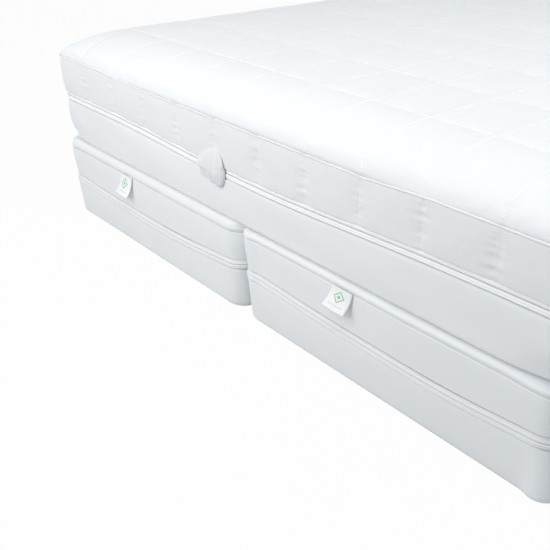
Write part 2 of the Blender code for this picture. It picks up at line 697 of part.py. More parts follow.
def foundation_cover(prefix, plan):
    """The smooth cover: a top panel that rolls over the edge, a seam, a zipped side and a bottom."""
    top = FOUNDATION_HEIGHT
    wall = COVER_THICKNESS
    seam_level = top - ROLL_HEIGHT
    roll_foot = seam_level + TOP_SEAM_SIZE / 2 + CLEARANCE
    roll_radius = ROLL_RADIUS
    roll_middle = top - roll_radius
    round_in_share, round_down_share = 0.25, 0.33
    outer = [(SIDE_OUT, roll_foot), (ROLL_OUT, roll_middle),
             (ROLL_OUT - round_in_share * roll_radius, top - round_down_share * roll_radius),
             (ROLL_OUT - roll_radius, top)]
    inner = [(SIDE_OUT - wall, roll_foot), (ROLL_OUT - wall, roll_middle),
             (ROLL_OUT - roll_radius, top - wall)]
    mesh = bmesh.new()
    loops = []
    for out, height in inner[::-1] + outer:
        places = [plan.place(x, y, out) for x, y in plan.rim()]
        loops.append([mesh.verts.new((*where, height)) for where in places])
    for low, high in zip(loops, loops[1:]):
        for a, b, c, d in zip(low, low[1:] + low[:1], high[1:] + high[:1], high):
            mesh.faces.new((a, b, c, d))
    mesh.faces.new(loops[0])
    mesh.faces.new(loops[-1])
    model(prefix + "top_panel", mesh, KNIT)

    half_seam = TOP_SEAM_SIZE / 2
    seam_out = SIDE_OUT
    ring(prefix + "top_seam", plan,
         [(seam_out, seam_level + half_seam, 0), (seam_out - half_seam, seam_level, 0),
          (seam_out, seam_level - half_seam, 0), (seam_out + half_seam, seam_level, 0)], KNIT)

    zip_top = FOUNDATION_ZIP_HEIGHT + FOUNDATION_ZIP_BAND / 2
    zip_foot = FOUNDATION_ZIP_HEIGHT - FOUNDATION_ZIP_BAND / 2
    high, low = seam_level - half_seam - CLEARANCE, zip_top
    middle, middle_sag = (high + low) / 2, FOUNDATION_ZIP_SAG / 2
    sag = FOUNDATION_ZIP_SAG
    ring(prefix + "upper_border", plan,
         [(SIDE_OUT - wall, high, 0), (SIDE_OUT - wall, middle, middle_sag),
          (FOUNDATION_TAPE_OUT - wall, low, sag), (FOUNDATION_TAPE_OUT, low, sag),
          (SIDE_OUT, middle, middle_sag), (SIDE_OUT, high, 0)], KNIT)
    zip_rings(prefix, plan, FOUNDATION_ZIP_HEIGHT, FOUNDATION_ZIP_BAND, FOUNDATION_COIL_HEIGHT,
              FOUNDATION_TAPE_OUT, sag)
    foot = CLEARANCE
    tuck_round_share = 0.25
    ring(prefix + "lower_border", plan,
         [(FOUNDATION_TAPE_OUT - wall, zip_foot, sag), (HEM_OUT - wall, HEM_HEIGHT, 0),
          (TUCK_OUT - wall, foot + wall, 0), (TUCK_OUT, foot, 0),
          ((HEM_OUT + TUCK_OUT) / 2 + wall, foot + tuck_round_share * HEM_HEIGHT, 0),
          (HEM_OUT, HEM_HEIGHT, 0), (FOUNDATION_TAPE_OUT, zip_foot, sag)], KNIT)
    panel_out = TUCK_OUT - wall - CLEARANCE
    slab(prefix + "bottom_panel", plan, [(panel_out, 0.0), (panel_out, wall)], KNIT)


def foundation_inside(prefix, plan):
    """A wooden frame with slats across it, a deck board and a thin foam pad."""
    bottom = COVER_THICKNESS + CLEARANCE
    pad_top = FOUNDATION_HEIGHT - COVER_THICKNESS - CLEARANCE
    pad_foot = pad_top - PAD_THICKNESS
    deck_top = pad_foot - CLEARANCE
    deck_foot = deck_top - DECK_THICKNESS
    frame_top = deck_foot - CLEARANCE
    back = COVER_THICKNESS + FILL_EASE
    frame_out = FOUNDATION_TAPE_OUT - back
    inside_x = plan.half_x + frame_out - RAIL_WIDTH
    inside_y = plan.half_y + frame_out - RAIL_WIDTH
    zip_foot = FOUNDATION_ZIP_HEIGHT - FOUNDATION_ZIP_BAND / 2 - FOUNDATION_ZIP_SAG
    corner = plan.corner
    square = Plan(plan.middle_x, plan.half_x, plan.half_y, corner,
                  corner_stations(plan.half_x, corner, ()), corner_stations(plan.half_y, corner, ()))
    outside = [(TUCK_OUT - back, bottom), (HEM_OUT - back, HEM_HEIGHT), (frame_out, zip_foot),
               (frame_out, frame_top)]
    middle = Vector((plan.middle_x, 0, 0))
    for name, side in (("side_rail_1", -1), ("side_rail_2", 1)):
        mesh = slab_mesh(square, outside)
        cut_off(mesh, middle + Vector((side * inside_x, 0, 0)), (-side, 0, 0))
        model(prefix + name, mesh, WOOD)
    for name, end in (("foot_rail", -1), ("head_rail", 1)):
        mesh = slab_mesh(square, outside)
        cut_off(mesh, (0, end * inside_y, 0), (0, -end, 0))
        for side in (-1, 1):
            cut_off(mesh, middle + Vector((side * (inside_x - CLEARANCE), 0, 0)), (side, 0, 0))
        model(prefix + name, mesh, WOOD)
    pad_out = ROLL_OUT - ROLL_RADIUS - CLEARANCE
    slab(prefix + "foam_pad", square, [(pad_out, pad_foot), (pad_out, pad_top)], FOAM)
    slab(prefix + "deck_board", square, [(frame_out, deck_foot), (frame_out, deck_top)], BOARD)
    reach = inside_x - CLEARANCE
    spacing = 2 * inside_y / (SLATS + 1)
    for number in range(SLATS):
        y = spacing * (number - (SLATS - 1) / 2)
        mesh = bmesh.new()
        block(mesh, (plan.middle_x - reach, y - SLAT_WIDTH / 2, frame_top - SLAT_THICKNESS),
              (plan.middle_x + reach, y + SLAT_WIDTH / 2, frame_top))
        model(f"{prefix}slat_{number + 1}", mesh, WOOD, smooth=False)


def label(name, plan):
    """A woven tag sewn under the top seam at the foot. Its lower end curls away from the side."""
    steps = 6
    lift_share = 0.08  # of its length, that the curl takes off its reach down
    seam_foot = FOUNDATION_HEIGHT - ROLL_HEIGHT - TOP_SEAM_SIZE / 2 - CLEARANCE
    mesh = bmesh.new()
    half = LABEL_WIDTH / 2
    backs, faces = [], []
    for step in range(steps + 1):
        share = step / steps
        out = SIDE_OUT + CLEARANCE + LABEL_CURL * share * share
        level = seam_foot - LABEL_LENGTH * share * (1 - lift_share * share * share)
        for line, extra in ((backs, 0), (faces, LABEL_THICKNESS)):
            y = -(plan.half_y + out + extra)
            line.append([mesh.verts.new((plan.middle_x + LABEL_OFFSET + side, y, level))
                         for side in (-half, half)])
    for line in (backs, faces):
        for (a, b), (c, d) in zip(line, line[1:]):
            mesh.faces.new((a, b, d, c))
    for side in (0, 1):
        for one, two, three, four in zip(backs, backs[1:], faces[1:], faces):
            mesh.faces.new((one[side], two[side], three[side], four[side]))
    for end in (0, -1):
        mesh.faces.new((*backs[end], faces[end][1], faces[end][0]))
    model(name, mesh, LABEL)


def foundation(prefix, side):
    """One foundation in its encasement; side is -1 on the left and 1 on the right."""
    half_x = (HALF_WIDTH - PAIR_GAP / 2) / 2
    half_y = HALF_LENGTH
    middle_x = side * (PAIR_GAP / 2 + half_x)
    corner = FOUNDATION_CORNER
    level_ends = (FLAT_SHARE, (FLAT_SHARE + LEVEL_SHARE) / 2, LEVEL_SHARE)
    plan = Plan(middle_x, half_x, half_y, corner, corner_stations(half_x, corner, level_ends),
                corner_stations(half_y, corner, level_ends))
    foundation_cover(prefix, plan)
    foundation_inside(prefix, plan)
    label(prefix + "label", plan)
    zip_hardware(prefix, plan, FOUNDATION_SLIDER_OFFSET, FOUNDATION_ZIP_HEIGHT - FOUNDATION_ZIP_SAG,
                 FOUNDATION_COIL_HEIGHT, FOUNDATION_TAPE_OUT, towards_head=True)


foundation("left_", -1)
foundation("right_", 1)
mattress_encasement()
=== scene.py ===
"""A queen mattress in its quilted encasement, on two foundations in smooth ones, dressed for the camera.

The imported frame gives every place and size; the sections follow the set as it is put together.
Lengths are in metres.
"""

import math

import bpy
import numpy as np
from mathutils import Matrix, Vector, noise


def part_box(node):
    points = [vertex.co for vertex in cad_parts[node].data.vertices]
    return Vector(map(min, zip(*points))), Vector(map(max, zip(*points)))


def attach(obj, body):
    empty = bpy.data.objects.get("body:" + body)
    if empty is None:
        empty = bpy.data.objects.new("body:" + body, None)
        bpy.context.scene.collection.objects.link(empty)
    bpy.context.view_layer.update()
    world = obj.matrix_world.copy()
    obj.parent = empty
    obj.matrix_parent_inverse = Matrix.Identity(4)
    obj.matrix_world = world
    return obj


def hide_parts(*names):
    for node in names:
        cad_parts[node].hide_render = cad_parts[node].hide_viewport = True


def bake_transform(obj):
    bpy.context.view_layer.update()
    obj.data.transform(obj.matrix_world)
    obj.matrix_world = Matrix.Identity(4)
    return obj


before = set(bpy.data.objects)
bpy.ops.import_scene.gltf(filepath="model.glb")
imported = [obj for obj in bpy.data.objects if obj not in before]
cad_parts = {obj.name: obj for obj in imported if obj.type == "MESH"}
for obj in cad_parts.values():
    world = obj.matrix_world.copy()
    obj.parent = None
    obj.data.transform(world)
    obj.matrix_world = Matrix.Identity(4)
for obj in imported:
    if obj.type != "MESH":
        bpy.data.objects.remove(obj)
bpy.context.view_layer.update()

PAIR = ("left", "right")
bpy.ops.object.select_all(action="DESELECT")


# The foundations' wooden frames: planed softwood rails and slats, glued and stapled.
# Their shape is the frame's own, so each keeps it and gets a grain that runs along the wood.
PINE_COLOURS = ((0.70, 0.53, 0.33), (0.52, 0.35, 0.19))


def mixed(tree, low, high, factor):
    """A colour between two, by a factor from another node."""
    mix = tree.nodes.new("ShaderNodeMix")
    mix.data_type = "RGBA"
    mix.inputs[6].default_value = (*low, 1)
    mix.inputs[7].default_value = (*high, 1)
    tree.links.new(factor, mix.inputs[0])
    return mix.outputs[2]


def bump(tree, height, distance, strength=1.0, under=None):
    """A bump of that height in metres, on top of another if one is given."""
    node = tree.nodes.new("ShaderNodeBump")
    node.inputs["Strength"].default_value = strength
    node.inputs["Distance"].default_value = distance
    tree.links.new(height, node.inputs["Height"])
    if under:
        tree.links.new(under, node.inputs["Normal"])
    return node.outputs["Normal"]


def scaled(tree, source, scale, turn=(0, 0, 0)):
    """Coordinates stretched by a scale for each axis."""
    node = tree.nodes.new("ShaderNodeMapping")
    node.inputs["Scale"].default_value = scale
    node.inputs["Rotation"].default_value = turn
    tree.links.new(source, node.inputs["Vector"])
    return node.outputs["Vector"]


def texture(tree, kind, vector, **inputs):
    """A texture node; its inputs are named in lower case."""
    node = tree.nodes.new(f"ShaderNodeTex{kind}")
    for name, value in inputs.items():
        node.inputs[name.replace("_", " ").title()].default_value = value
    tree.links.new(vector, node.inputs["Vector"])
    return node


def new_material(name, roughness, **inputs):
    """A material, its node tree, its shader and its Object and UV coordinates."""
    material = bpy.data.materials.new(name)
    material.use_nodes = True
    tree = material.node_tree
    shader = tree.nodes["Principled BSDF"]
    shader.inputs["Roughness"].default_value = roughness
    for name, value in inputs.items():
        shader.inputs[name.replace("_", " ").title()].default_value = value
    where = tree.nodes.new("ShaderNodeTexCoord")
    return material, tree, shader, where


def pine():
    """Softwood: bands of grain along the wood, and pores."""
    material, tree, shader, where = new_material("planed_pine", 0.62)
    along = scaled(tree, where.outputs["Object"], (2, 2, 30))
    grain = texture(tree, "Noise", along, scale=9, detail=6)
    pores = texture(tree, "Noise", scaled(tree, where.outputs["Object"], (8, 8, 200)), scale=12, detail=3)
    tree.links.new(mixed(tree, *PINE_COLOURS, grain.outputs[0]), shader.inputs["Base Color"])
    tree.links.new(bump(tree, pores.outputs[0], 0.0004), shader.inputs["Normal"])
    return material


planed_pine = pine()
for name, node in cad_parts.items():
    if "_rail" in name or "_slat_" in name:
        node.data.materials.clear()
        node.data.materials.append(planed_pine)


# The deck boards: thin hardboard, pressed from fibres, stapled over the slats.
# Flat sheets, so the frame's own shape stays and takes a mottled brown finish.
def hardboard():
    """Pressed fibres: fine brown mottling with a slight tooth."""
    material, tree, shader, where = new_material("hardboard", 0.7)
    fibres = texture(tree, "Noise", where.outputs["Object"], scale=180, detail=6)
    tree.links.new(mixed(tree, (0.30, 0.20, 0.12), (0.46, 0.33, 0.21), fibres.outputs[0]),
                   shader.inputs["Base Color"])
    tree.links.new(bump(tree, fibres.outputs[0], 0.0003), shader.inputs["Normal"])
    return material


pressed_board = hardboard()
for side in PAIR:
    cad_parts[f"{side}_deck_board"].data.materials.clear()
    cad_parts[f"{side}_deck_board"].data.materials.append(pressed_board)


# The foam: thin pads on the decks, and the mattress's three layers, cut from block foam.
# Each is a slab with eased edges, its sides a little hollow where its cover draws it in.
FOAM_EDGE = 0.006
FOAM_HOLLOW = 0.002


class Rim:
    """The outline of a round-cornered rectangle: points, outward normals, and where each one is."""

    def __init__(self, middle_x, half_x, half_y, corner, stations_x, stations_y, corner_steps=8):
        self.half_x, self.half_y, self.corner = half_x, half_y, corner
        self.middle_x = middle_x
        points = []
        turns = [math.pi / 2 * (step + 0.5) / corner_steps for step in range(corner_steps)]
        sides = ((0, -1, stations_x), (1, 0, stations_y), (0, 1, stations_x[::-1]), (-1, 0, stations_y[::-1]))
        for number, (nx, ny, stations) in enumerate(sides):
            half_along = half_x if nx == 0 else half_y
            for value in stations:
                if abs(value) <= half_along - corner:
                    place = (value, ny * half_y) if nx == 0 else (nx * half_x, value)
                    points.append((*place, nx, ny, number, value / half_along, value))
            centre = (math.copysign(half_x - corner, nx - ny), math.copysign(half_y - corner, ny + nx))
            for turn in turns:
                way_x = nx * math.cos(turn) - ny * math.sin(turn)
                way_y = ny * math.cos(turn) + nx * math.sin(turn)
                over = half_along - corner + corner * math.sin(turn)
                sign = 1 if number in (0, 1) else -1
                points.append((centre[0] + corner * way_x, centre[1] + corner * way_y, way_x, way_y,
                               number, sign * over / half_along, sign * over))
        table = np.array(points)
        self.x, self.y, self.nx, self.ny, self.side, self.share, self.along = table.T
        self.count = len(points)
        steps = np.hypot(np.diff(np.append(self.x, self.x[0])), np.diff(np.append(self.y, self.y[0])))
        self.walk = np.concatenate(([0], np.cumsum(steps)))
        self.hang = 0.0

    def at(self, out, height):
        """Points `out` beyond the outline at a height; both may differ round it."""
        out = np.broadcast_to(out, (self.count,))
        height = np.broadcast_to(height, (self.count,))
        return np.stack([self.middle_x + self.x + self.nx * out, self.y + self.ny * out, height], axis=-1)

    def across(self, out, height, share):
        """The same points drawn in towards the middle of the outline, by a share of their distance."""
        points = self.at(out, height)
        points[:, 0] = self.middle_x + (points[:, 0] - self.middle_x) * share
        points[:, 1] *= share
        return points

    def sag(self):
        """1 in the middle of each side, 0 at its ends, as the zips hang."""
        far = np.clip((np.abs(self.share) - 0.45) / 0.23, 0, 1)
        return 1 - far * far * (3 - 2 * far)

    def hung(self, sag, shares, drops):
        """How far the zip hangs: its even sag, and along the foot the drops at those shares of it."""
        even_sag = sag * self.sag()
        smooth = np.polyval(np.polyfit(shares, drops, 6), np.clip(self.x / self.half_x, -1, 1))
        foot = np.exp(-((self.y + self.half_y) / 0.10) ** 2)
        self.hang = even_sag + (smooth - even_sag) * foot

    def corners(self, sign=0):
        """1 at the middle of each corner, 0 at its ends; a sign takes one side's alone."""
        weight = (np.abs(self.nx) + np.abs(self.ny) - 1) / (math.sqrt(2) - 1)
        return weight if sign == 0 else weight * (self.nx * sign > 0)


def even(half, step):
    """Stations at an even step along a side."""
    count = max(2, round(2 * half / step))
    return [half * (2 * number / count - 1) for number in range(count + 1)]


def grid_object(name, points, uv, material, wrap_columns=False, wrap_rows=False, caps=False):
    """A mesh from rows and columns of points, turned outwards; UV has one more where it wraps."""
    rows, columns = points.shape[:2]
    row = np.arange(rows if wrap_rows else rows - 1)
    column = np.arange(columns if wrap_columns else columns - 1)
    row, column = np.meshgrid(row, column, indexing="ij")
    next_row, next_column = (row + 1) % rows, (column + 1) % columns
    faces = np.stack([row * columns + column, row * columns + next_column,
                      next_row * columns + next_column, next_row * columns + column], axis=-1).reshape(-1, 4)
    corners = np.stack([uv[row, column], uv[row, column + 1], uv[row + 1, column + 1], uv[row + 1, column]],
                       axis=-2).reshape(-1, 4, 2)
    flat = points.reshape(-1, 3)
    a, b, c, d = (flat[faces[:, corner]] for corner in range(4))
    volume = np.einsum("ij,ij->", np.cross(a, b), c) + np.einsum("ij,ij->", np.cross(a, c), d)
    extra = []
    if caps:
        extra = [list(range(columns))[::-1], [(rows - 1) * columns + column for column in range(columns)]]
        for ring in extra:
            places = flat[ring]
            volume += np.einsum("ij,ij->", np.cross(places[0] + 0 * places[1:-1], places[1:-1]), places[2:])
    if volume < 0:
        faces, corners = faces[:, ::-1], corners[:, ::-1]
        extra = [ring[::-1] for ring in extra]
    data = bpy.data.meshes.new(name)
    data.from_pydata(flat.tolist(), [], faces.tolist() + extra)
    layer = data.uv_layers.new(name="UVMap")
    loops = np.zeros((len(layer.data), 2), np.float32)
    loops[:corners.size // 2] = corners.reshape(-1, 2)
    layer.data.foreach_set("uv", loops.ravel())
    data.shade_smooth()
    data.materials.append(material)
    piece = bpy.data.objects.new(name, data)
    bpy.context.scene.collection.objects.link(piece)
    return piece


def section_uv(rim, rows):
    """UV in metres: round the outline, and up the section of a swept piece."""
    steps = [np.linalg.norm(high - low, axis=-1).mean() for low, high in zip(rows, rows[1:] + rows[:1])]
    up = np.concatenate(([0], np.cumsum(steps)))
    return np.stack(np.meshgrid(rim.walk, up), axis=-1)


def swept(name, rim, rows, material, caps=False):
    """A piece swept round the outline. Its rows, (out, height) or with a share across, go round it."""
    points = [rim.across(*row) if len(row) == 3 else rim.at(*row) for row in rows]
    return grid_object(name, np.array(points), section_uv(rim, points), material,
                       wrap_columns=True, wrap_rows=not caps, caps=caps)


def arc(middle_out, middle_height, radius, start, stop, steps):
    """(out, height) along an arc, with angles in degrees: 0 is outwards and 90 is up."""
    turns = [math.radians(start + (stop - start) * step / steps) for step in range(steps + 1)]
    return [(middle_out + radius * math.cos(turn), middle_height + radius * math.sin(turn)) for turn in turns]


def block_foam():
    """Cut foam: open cells of half a millimetre to two, cream white."""
    material, tree, shader, where = new_material("cut_foam", 0.95)
    cells = texture(tree, "Voronoi", where.outputs["Object"], scale=700)
    shade = texture(tree, "Noise", where.outputs["Object"], scale=14, detail=3)
    tree.links.new(mixed(tree, (0.80, 0.76, 0.60), (0.92, 0.89, 0.76), shade.outputs[0]),
                   shader.inputs["Base Color"])
    tree.links.new(bump(tree, cells.outputs[0], 0.0006), shader.inputs["Normal"])
    return material


cut_foam = block_foam()


def foam_slab(node, body, foot_taper=0.0):
    """A slab of foam in the place of a node, with eased edges. Its foot may be cut back."""
    low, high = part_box(node)
    half_x, half_y = (high.x - low.x) / 2, (high.y - low.y) / 2
    corner = 0.045
    rim = Rim((low.x + high.x) / 2, half_x, half_y, corner, even(half_x, 0.06), even(half_y, 0.06), 6)
    edge = min(FOAM_EDGE, (high.z - low.z) / 2.5)
    foot = arc(-edge - foot_taper, low.z + edge, edge, -90, 0, 3)
    rows = [(-edge - foot_taper, low.z, 0.4)] + foot
    rows += [(-FOAM_HOLLOW, low.z + 3 * foot_taper + 2 * edge), (-FOAM_HOLLOW, (low.z + high.z) / 2)]
    rows += arc(-edge, high.z - edge, edge, 0, 90, 3) + [(-edge, high.z, 0.4)]
    piece = swept(f"{node}_layer", rim, rows, cut_foam, caps=True)
    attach(piece, body)
    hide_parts(node)


for side in PAIR:
    foam_slab(f"{side}_foam_pad", f"{side}_foundation")
foam_slab("support_core", "mattress", foot_taper=0.018)
foam_slab("transition_foam", "mattress")


# The foundations' covers: a smooth white knit with a film on its back, cut and sewn with overlocked
# seams. The lower border tucks in under the foundation, and is sewn to a flat bottom panel there.
KNIT_PITCH = 0.0011
COVER_WALL = 0.0014
FOUNDATION_SAG = 0.010
FOOT_RADIUS = 0.013
TUCK_OUT = -0.006
FOUNDATION_CORNER = 0.040


def knit(name, colours, roughness, pitch, depth, coat=0.0):
    """A fine weft knit: rows of small stitches, with broad faint shading. It follows the cloth's UV."""
    material, tree, shader, where = new_material(name, roughness, sheen_weight=0.15, sheen_roughness=0.5,
                                                 coat_weight=coat, coat_roughness=0.45)
    stitches = []
    for turn in (0, math.pi / 2):
        way = scaled(tree, where.outputs["UV"], (1, 1, 1), (0, 0, turn))
        stitches.append(texture(tree, "Wave", way, scale=1 / pitch / (2 * math.pi) * 2,
                                distortion=0.6, detail=1))
    both = tree.nodes.new("ShaderNodeMath")
    both.operation = "MULTIPLY"
    for number, wave in enumerate(stitches):
        tree.links.new(wave.outputs["Fac"], both.inputs[number])
    shade = texture(tree, "Noise", where.outputs["Object"], scale=5, detail=3)
    tree.links.new(mixed(tree, *colours, shade.outputs[0]), shader.inputs["Base Color"])
    fine = bump(tree, both.outputs[0], depth)
    slub = texture(tree, "Noise", scaled(tree, where.outputs["UV"], (60, 420, 1)), scale=1, detail=2)
    tree.links.new(bump(tree, slub.outputs[0], depth, 0.5, fine), shader.inputs["Normal"])
    return material


cover_knit = knit("cover_knit", ((0.80, 0.825, 0.85), (0.84, 0.86, 0.88)),
                  0.46, KNIT_PITCH, 0.00008, coat=0.1)


def ripple(rim, height, wave_along, wave_up, seed):
    """Smooth noise round the outline at a height, from -1 to 1: how soft cloth wanders."""
    return np.array([noise.noise(Vector((x / wave_along, y / wave_along, height / wave_up + seed)))
                     for x, y in zip(rim.x + rim.nx * 0.02, rim.y + rim.ny * 0.02)])


foundation_rims = {}
for side in PAIR:
    low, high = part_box(f"{side}_deck_board")
    deck_out = 0.0017
    half_x, half_y = (high.x - low.x) / 2 - deck_out, (high.y - low.y) / 2 - deck_out
    foundation_rims[side] = Rim((low.x + high.x) / 2, half_x, half_y, FOUNDATION_CORNER,
                                even(half_x, 0.012), even(half_y, 0.016), 10)
foundation_rims["left"].hung(FOUNDATION_SAG, (-1, -0.87, -0.6, -0.3, 0, 0.2, 0.4, 0.6, 0.8, 1),
                             (0.011, 0.015, 0.019, 0.0215, 0.022, 0.0215, 0.0190, 0.0145, 0.008, 0.004))
foundation_rims["right"].hung(FOUNDATION_SAG, (-1, -0.73, -0.5, -0.3, -0.1, 0.1, 0.3, 0.5, 0.72, 0.85, 1),
                              (0.003, 0.0055, 0.009, 0.0118, 0.0134, 0.0137,
                               0.0138, 0.0128, 0.0062, 0.003, 0))


def corner_push(side, rim):
    """How far the frame's hard left corners push the cover out; it lies slack round the others."""
    return (0.0088 if side == "left" else 0.0112) * rim.corners(-1)


def lower_cover(side, rim):
    """The smooth lower border of one foundation: it hangs flat, and tucks in round its foot."""
    low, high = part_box(f"{side}_lower_border")
    top = high.z - rim.hang
    push = corner_push(side, rim)
    square = 0.016 * rim.corners(1) * (side == "right")
    rows = []
    for share in (*np.linspace(0, 0.92, 13), 0.95, 0.975, 1.0):
        height = low.z + FOOT_RADIUS + (top - low.z - FOOT_RADIUS) * share
        lean = 0.0028 + 0.0020 * share - 0.0052 * max(0, (share - 0.945) / 0.055) ** 0.9
        wander = 0.0016 * math.sin(math.pi * share) * ripple(rim, share * 0.08, 0.22, 0.10, 3.1)
        rows.append((lean + wander + push * (0.2 + 0.6 * share) + square * (1 - share), height))
    tuck = [(TUCK_OUT + (0.0028 - TUCK_OUT) * math.sin(turn) + push * 0.2 + square * math.sin(turn),
             low.z + FOOT_RADIUS * (1 - math.cos(turn)))
            for turn in np.linspace(0, math.pi / 2, 7)[:-1]]
    face = tuck + rows
    back = [(out - COVER_WALL, height) for out, height in face[::-2]]
    piece = swept(f"{side}_cover_foot", rim, face + back, cover_knit)
    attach(piece, f"{side}_foundation")
    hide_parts(f"{side}_lower_border")


def bottom_cover(node, rim, inset, body, name):
    """A flat bottom panel of the cover's knit, closed at its edges."""
    low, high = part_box(node)
    shares = (0.1, 0.5, 0.9)
    rows = [(-inset, high.z, share) for share in shares] + [(-inset, high.z), (-inset, low.z)]
    rows += [(-inset, low.z, share) for share in shares[::-1]]
    piece = swept(name, rim, rows, cover_knit, caps=True)
    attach(piece, body)
    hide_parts(node)


for side, rim in foundation_rims.items():
    lower_cover(side, rim)
    bottom_cover(f"{side}_bottom_panel", rim, -TUCK_OUT + 0.0018,
                 f"{side}_foundation", f"{side}_cover_bottom")


# The zips: woven tapes, each folded under where it is sewn and lapped over its half of a moulded coil.
# They run all round each cover, sewn in level at the corners and hanging a little between them.
RIDGE = 0.0009
COIL_HUMP = 0.0017
TOOTH_PITCH = 0.0032


def tape_weave(name, low, high):
    """Woven polyester tape: a fine diagonal twill, slightly shiny."""
    material, tree, shader, where = new_material(name, 0.6, sheen_weight=0.2)
    twill = texture(tree, "Wave", scaled(tree, where.outputs["UV"], (1, 1, 1), (0, 0, math.radians(62))),
                    scale=380, distortion=0.4)
    shade = texture(tree, "Noise", where.outputs["Object"], scale=60, detail=2)
    tree.links.new(mixed(tree, low, high, shade.outputs[0]), shader.inputs["Base Color"])
    tree.links.new(bump(tree, twill.outputs["Fac"], 0.00008), shader.inputs["Normal"])
    return material


def moulded_coil():
    """Drawn polyester: smooth and faintly milky."""
    material, tree, shader, where = new_material("drawn_coil", 0.32, coat_weight=0.2)
    shade = texture(tree, "Noise", where.outputs["Object"], scale=40, detail=2)
    tree.links.new(mixed(tree, (0.90, 0.91, 0.92), (0.94, 0.945, 0.95), shade.outputs[0]),
                   shader.inputs["Base Color"])
    tree.links.new(bump(tree, shade.outputs[0], 0.00005), shader.inputs["Normal"])
    return material


white_tape = tape_weave("white_tape", (0.93, 0.935, 0.945), (0.96, 0.965, 0.97))
cover_tape = tape_weave("cover_tape", (0.82, 0.84, 0.86), (0.85, 0.865, 0.88))
drawn_coil = moulded_coil()


def tape(node, rim, sag, out, lean, body, high_edge, lap, weave, sewn=0.0016):
    """One zip tape: folded over at its sewn edge, and lapped over half of the coil at its other one.

    It stands `out` at its top, and that and `lean` at its foot, and laps over the cover by `sewn`.
    """
    low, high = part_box(node)
    foot, top = low.z + sag, high.z
    foot, top = (foot - lap, top + sewn) if high_edge else (foot - sewn, top + lap)
    height = top - foot
    wander = 0.0004 * ripple(rim, top, 0.16, 1, 5.7)
    face = []
    for share in np.linspace(0, 1, 31):
        from_coil = height * (share if high_edge else 1 - share)
        from_sewn = height - from_coil
        hump = COIL_HUMP * max(0, math.cos(math.pi / 2 * (from_coil / lap - 0.75) / 0.95)) ** 1.2
        ridge = RIDGE * max(0, math.cos(math.pi / 2 * (from_sewn - 0.0012) / 0.0011))
        face.append((out + lean * (1 - share) + hump + ridge + wander, foot + height * share - rim.hang))
    back = [(part - 0.0005, level) for part, level in face[::-2]]
    piece = swept(f"{node}_band", rim, face + back, weave)
    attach(piece, body)
    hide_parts(node)


def coil(node, rim, sag, out, lean, body):
    """The closed coil: a low core with a row of rounded teeth across it, each leaning its own way."""
    low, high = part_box(node)
    foot, top = low.z + sag, high.z
    middle, half = (foot + top) / 2, (top - foot) / 2
    hang = rim.hang
    core = [(out - 0.001, middle + half - hang), (out + lean - 0.001, middle - half - hang),
            (out + lean - 0.0006, middle - half - hang), (out + lean / 2 + 0.0004, middle - hang),
            (out - 0.0006, middle + half - hang)]
    core_piece = swept(f"{node}_core", rim, core, drawn_coil)
    count = round(rim.walk[-1] / TOOTH_PITCH)
    walks = (np.arange(count) + 0.5) * rim.walk[-1] / count
    around = np.append(np.arange(rim.count), 0)
    out = np.broadcast_to(out, (rim.count,))
    at = [np.interp(walks, rim.walk, values[around]) for values in (rim.x, rim.y, rim.nx, rim.ny, hang, out)]
    x, y, nx, ny, drop, face_out = at
    length = np.hypot(nx, ny)
    nx, ny = nx / length, ny / length
    half_wide, reach = TOOTH_PITCH * 0.42, 0.0009
    section = [(-half_wide, 0.0), (-half_wide * 0.7, 0.8 * reach),
               (half_wide * 0.7, 0.8 * reach), (half_wide, 0.0)]
    spine = [(-half * 0.98, 0.45), (-half * 0.5, 1.0), (half * 0.5, 1.0), (half * 0.98, 0.45)]
    tooth = np.array([[(along, out_share * tall + lean * (0.5 - up / half / 2), up)
                       for along, out_share in section] for up, tall in spine])
    tooth = tooth.reshape(-1, 3)
    lean = np.where(np.arange(count) % 2 == 0, 0.10, -0.10)
    along = tooth[None, :, 0] + lean[:, None] * tooth[None, :, 2]
    outwards = face_out[:, None] + 0.0003 + tooth[None, :, 1]
    place = np.stack([rim.middle_x + x[:, None] + nx[:, None] * outwards - ny[:, None] * along,
                      y[:, None] + ny[:, None] * outwards + nx[:, None] * along,
                      middle - drop[:, None] + tooth[None, :, 2]], axis=-1)
    quads = []
    for row in range(3):
        for column in range(4):
            a, b = row * 4 + column, row * 4 + (column + 1) % 4
            quads.append((a, b, b + 4, a + 4))
    quads += [(3, 2, 1, 0), (12, 13, 14, 15)]
    faces = (np.arange(count)[:, None, None] * 16 + np.array(quads)[None]).reshape(-1, 4)
    data = bpy.data.meshes.new(f"{node}_teeth")
    data.from_pydata(place.reshape(-1, 3).tolist(), [], faces.tolist())
    data.shade_smooth()
    data.materials.append(drawn_coil)
    teeth = bpy.data.objects.new(f"{node}_teeth", data)
    bpy.context.scene.collection.objects.link(teeth)
    for piece in (core_piece, teeth):
        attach(piece, body)
        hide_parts(node)


for side, rim in foundation_rims.items():
    body = f"{side}_foundation"
    push = corner_push(side, rim) * 0.8
    tape(f"{side}_zip_upper_tape", rim, FOUNDATION_SAG, 0.0034 + push, 0.0006, body, True, 0.0026, cover_tape)
    tape(f"{side}_zip_lower_tape", rim, FOUNDATION_SAG, 0.0040 + push, 0.0016, body, False, 0.0026,
         cover_tape, sewn=0.0002)
    coil(f"{side}_zip_coil", rim, FOUNDATION_SAG, 0.0018 + push, 0.0006, body)


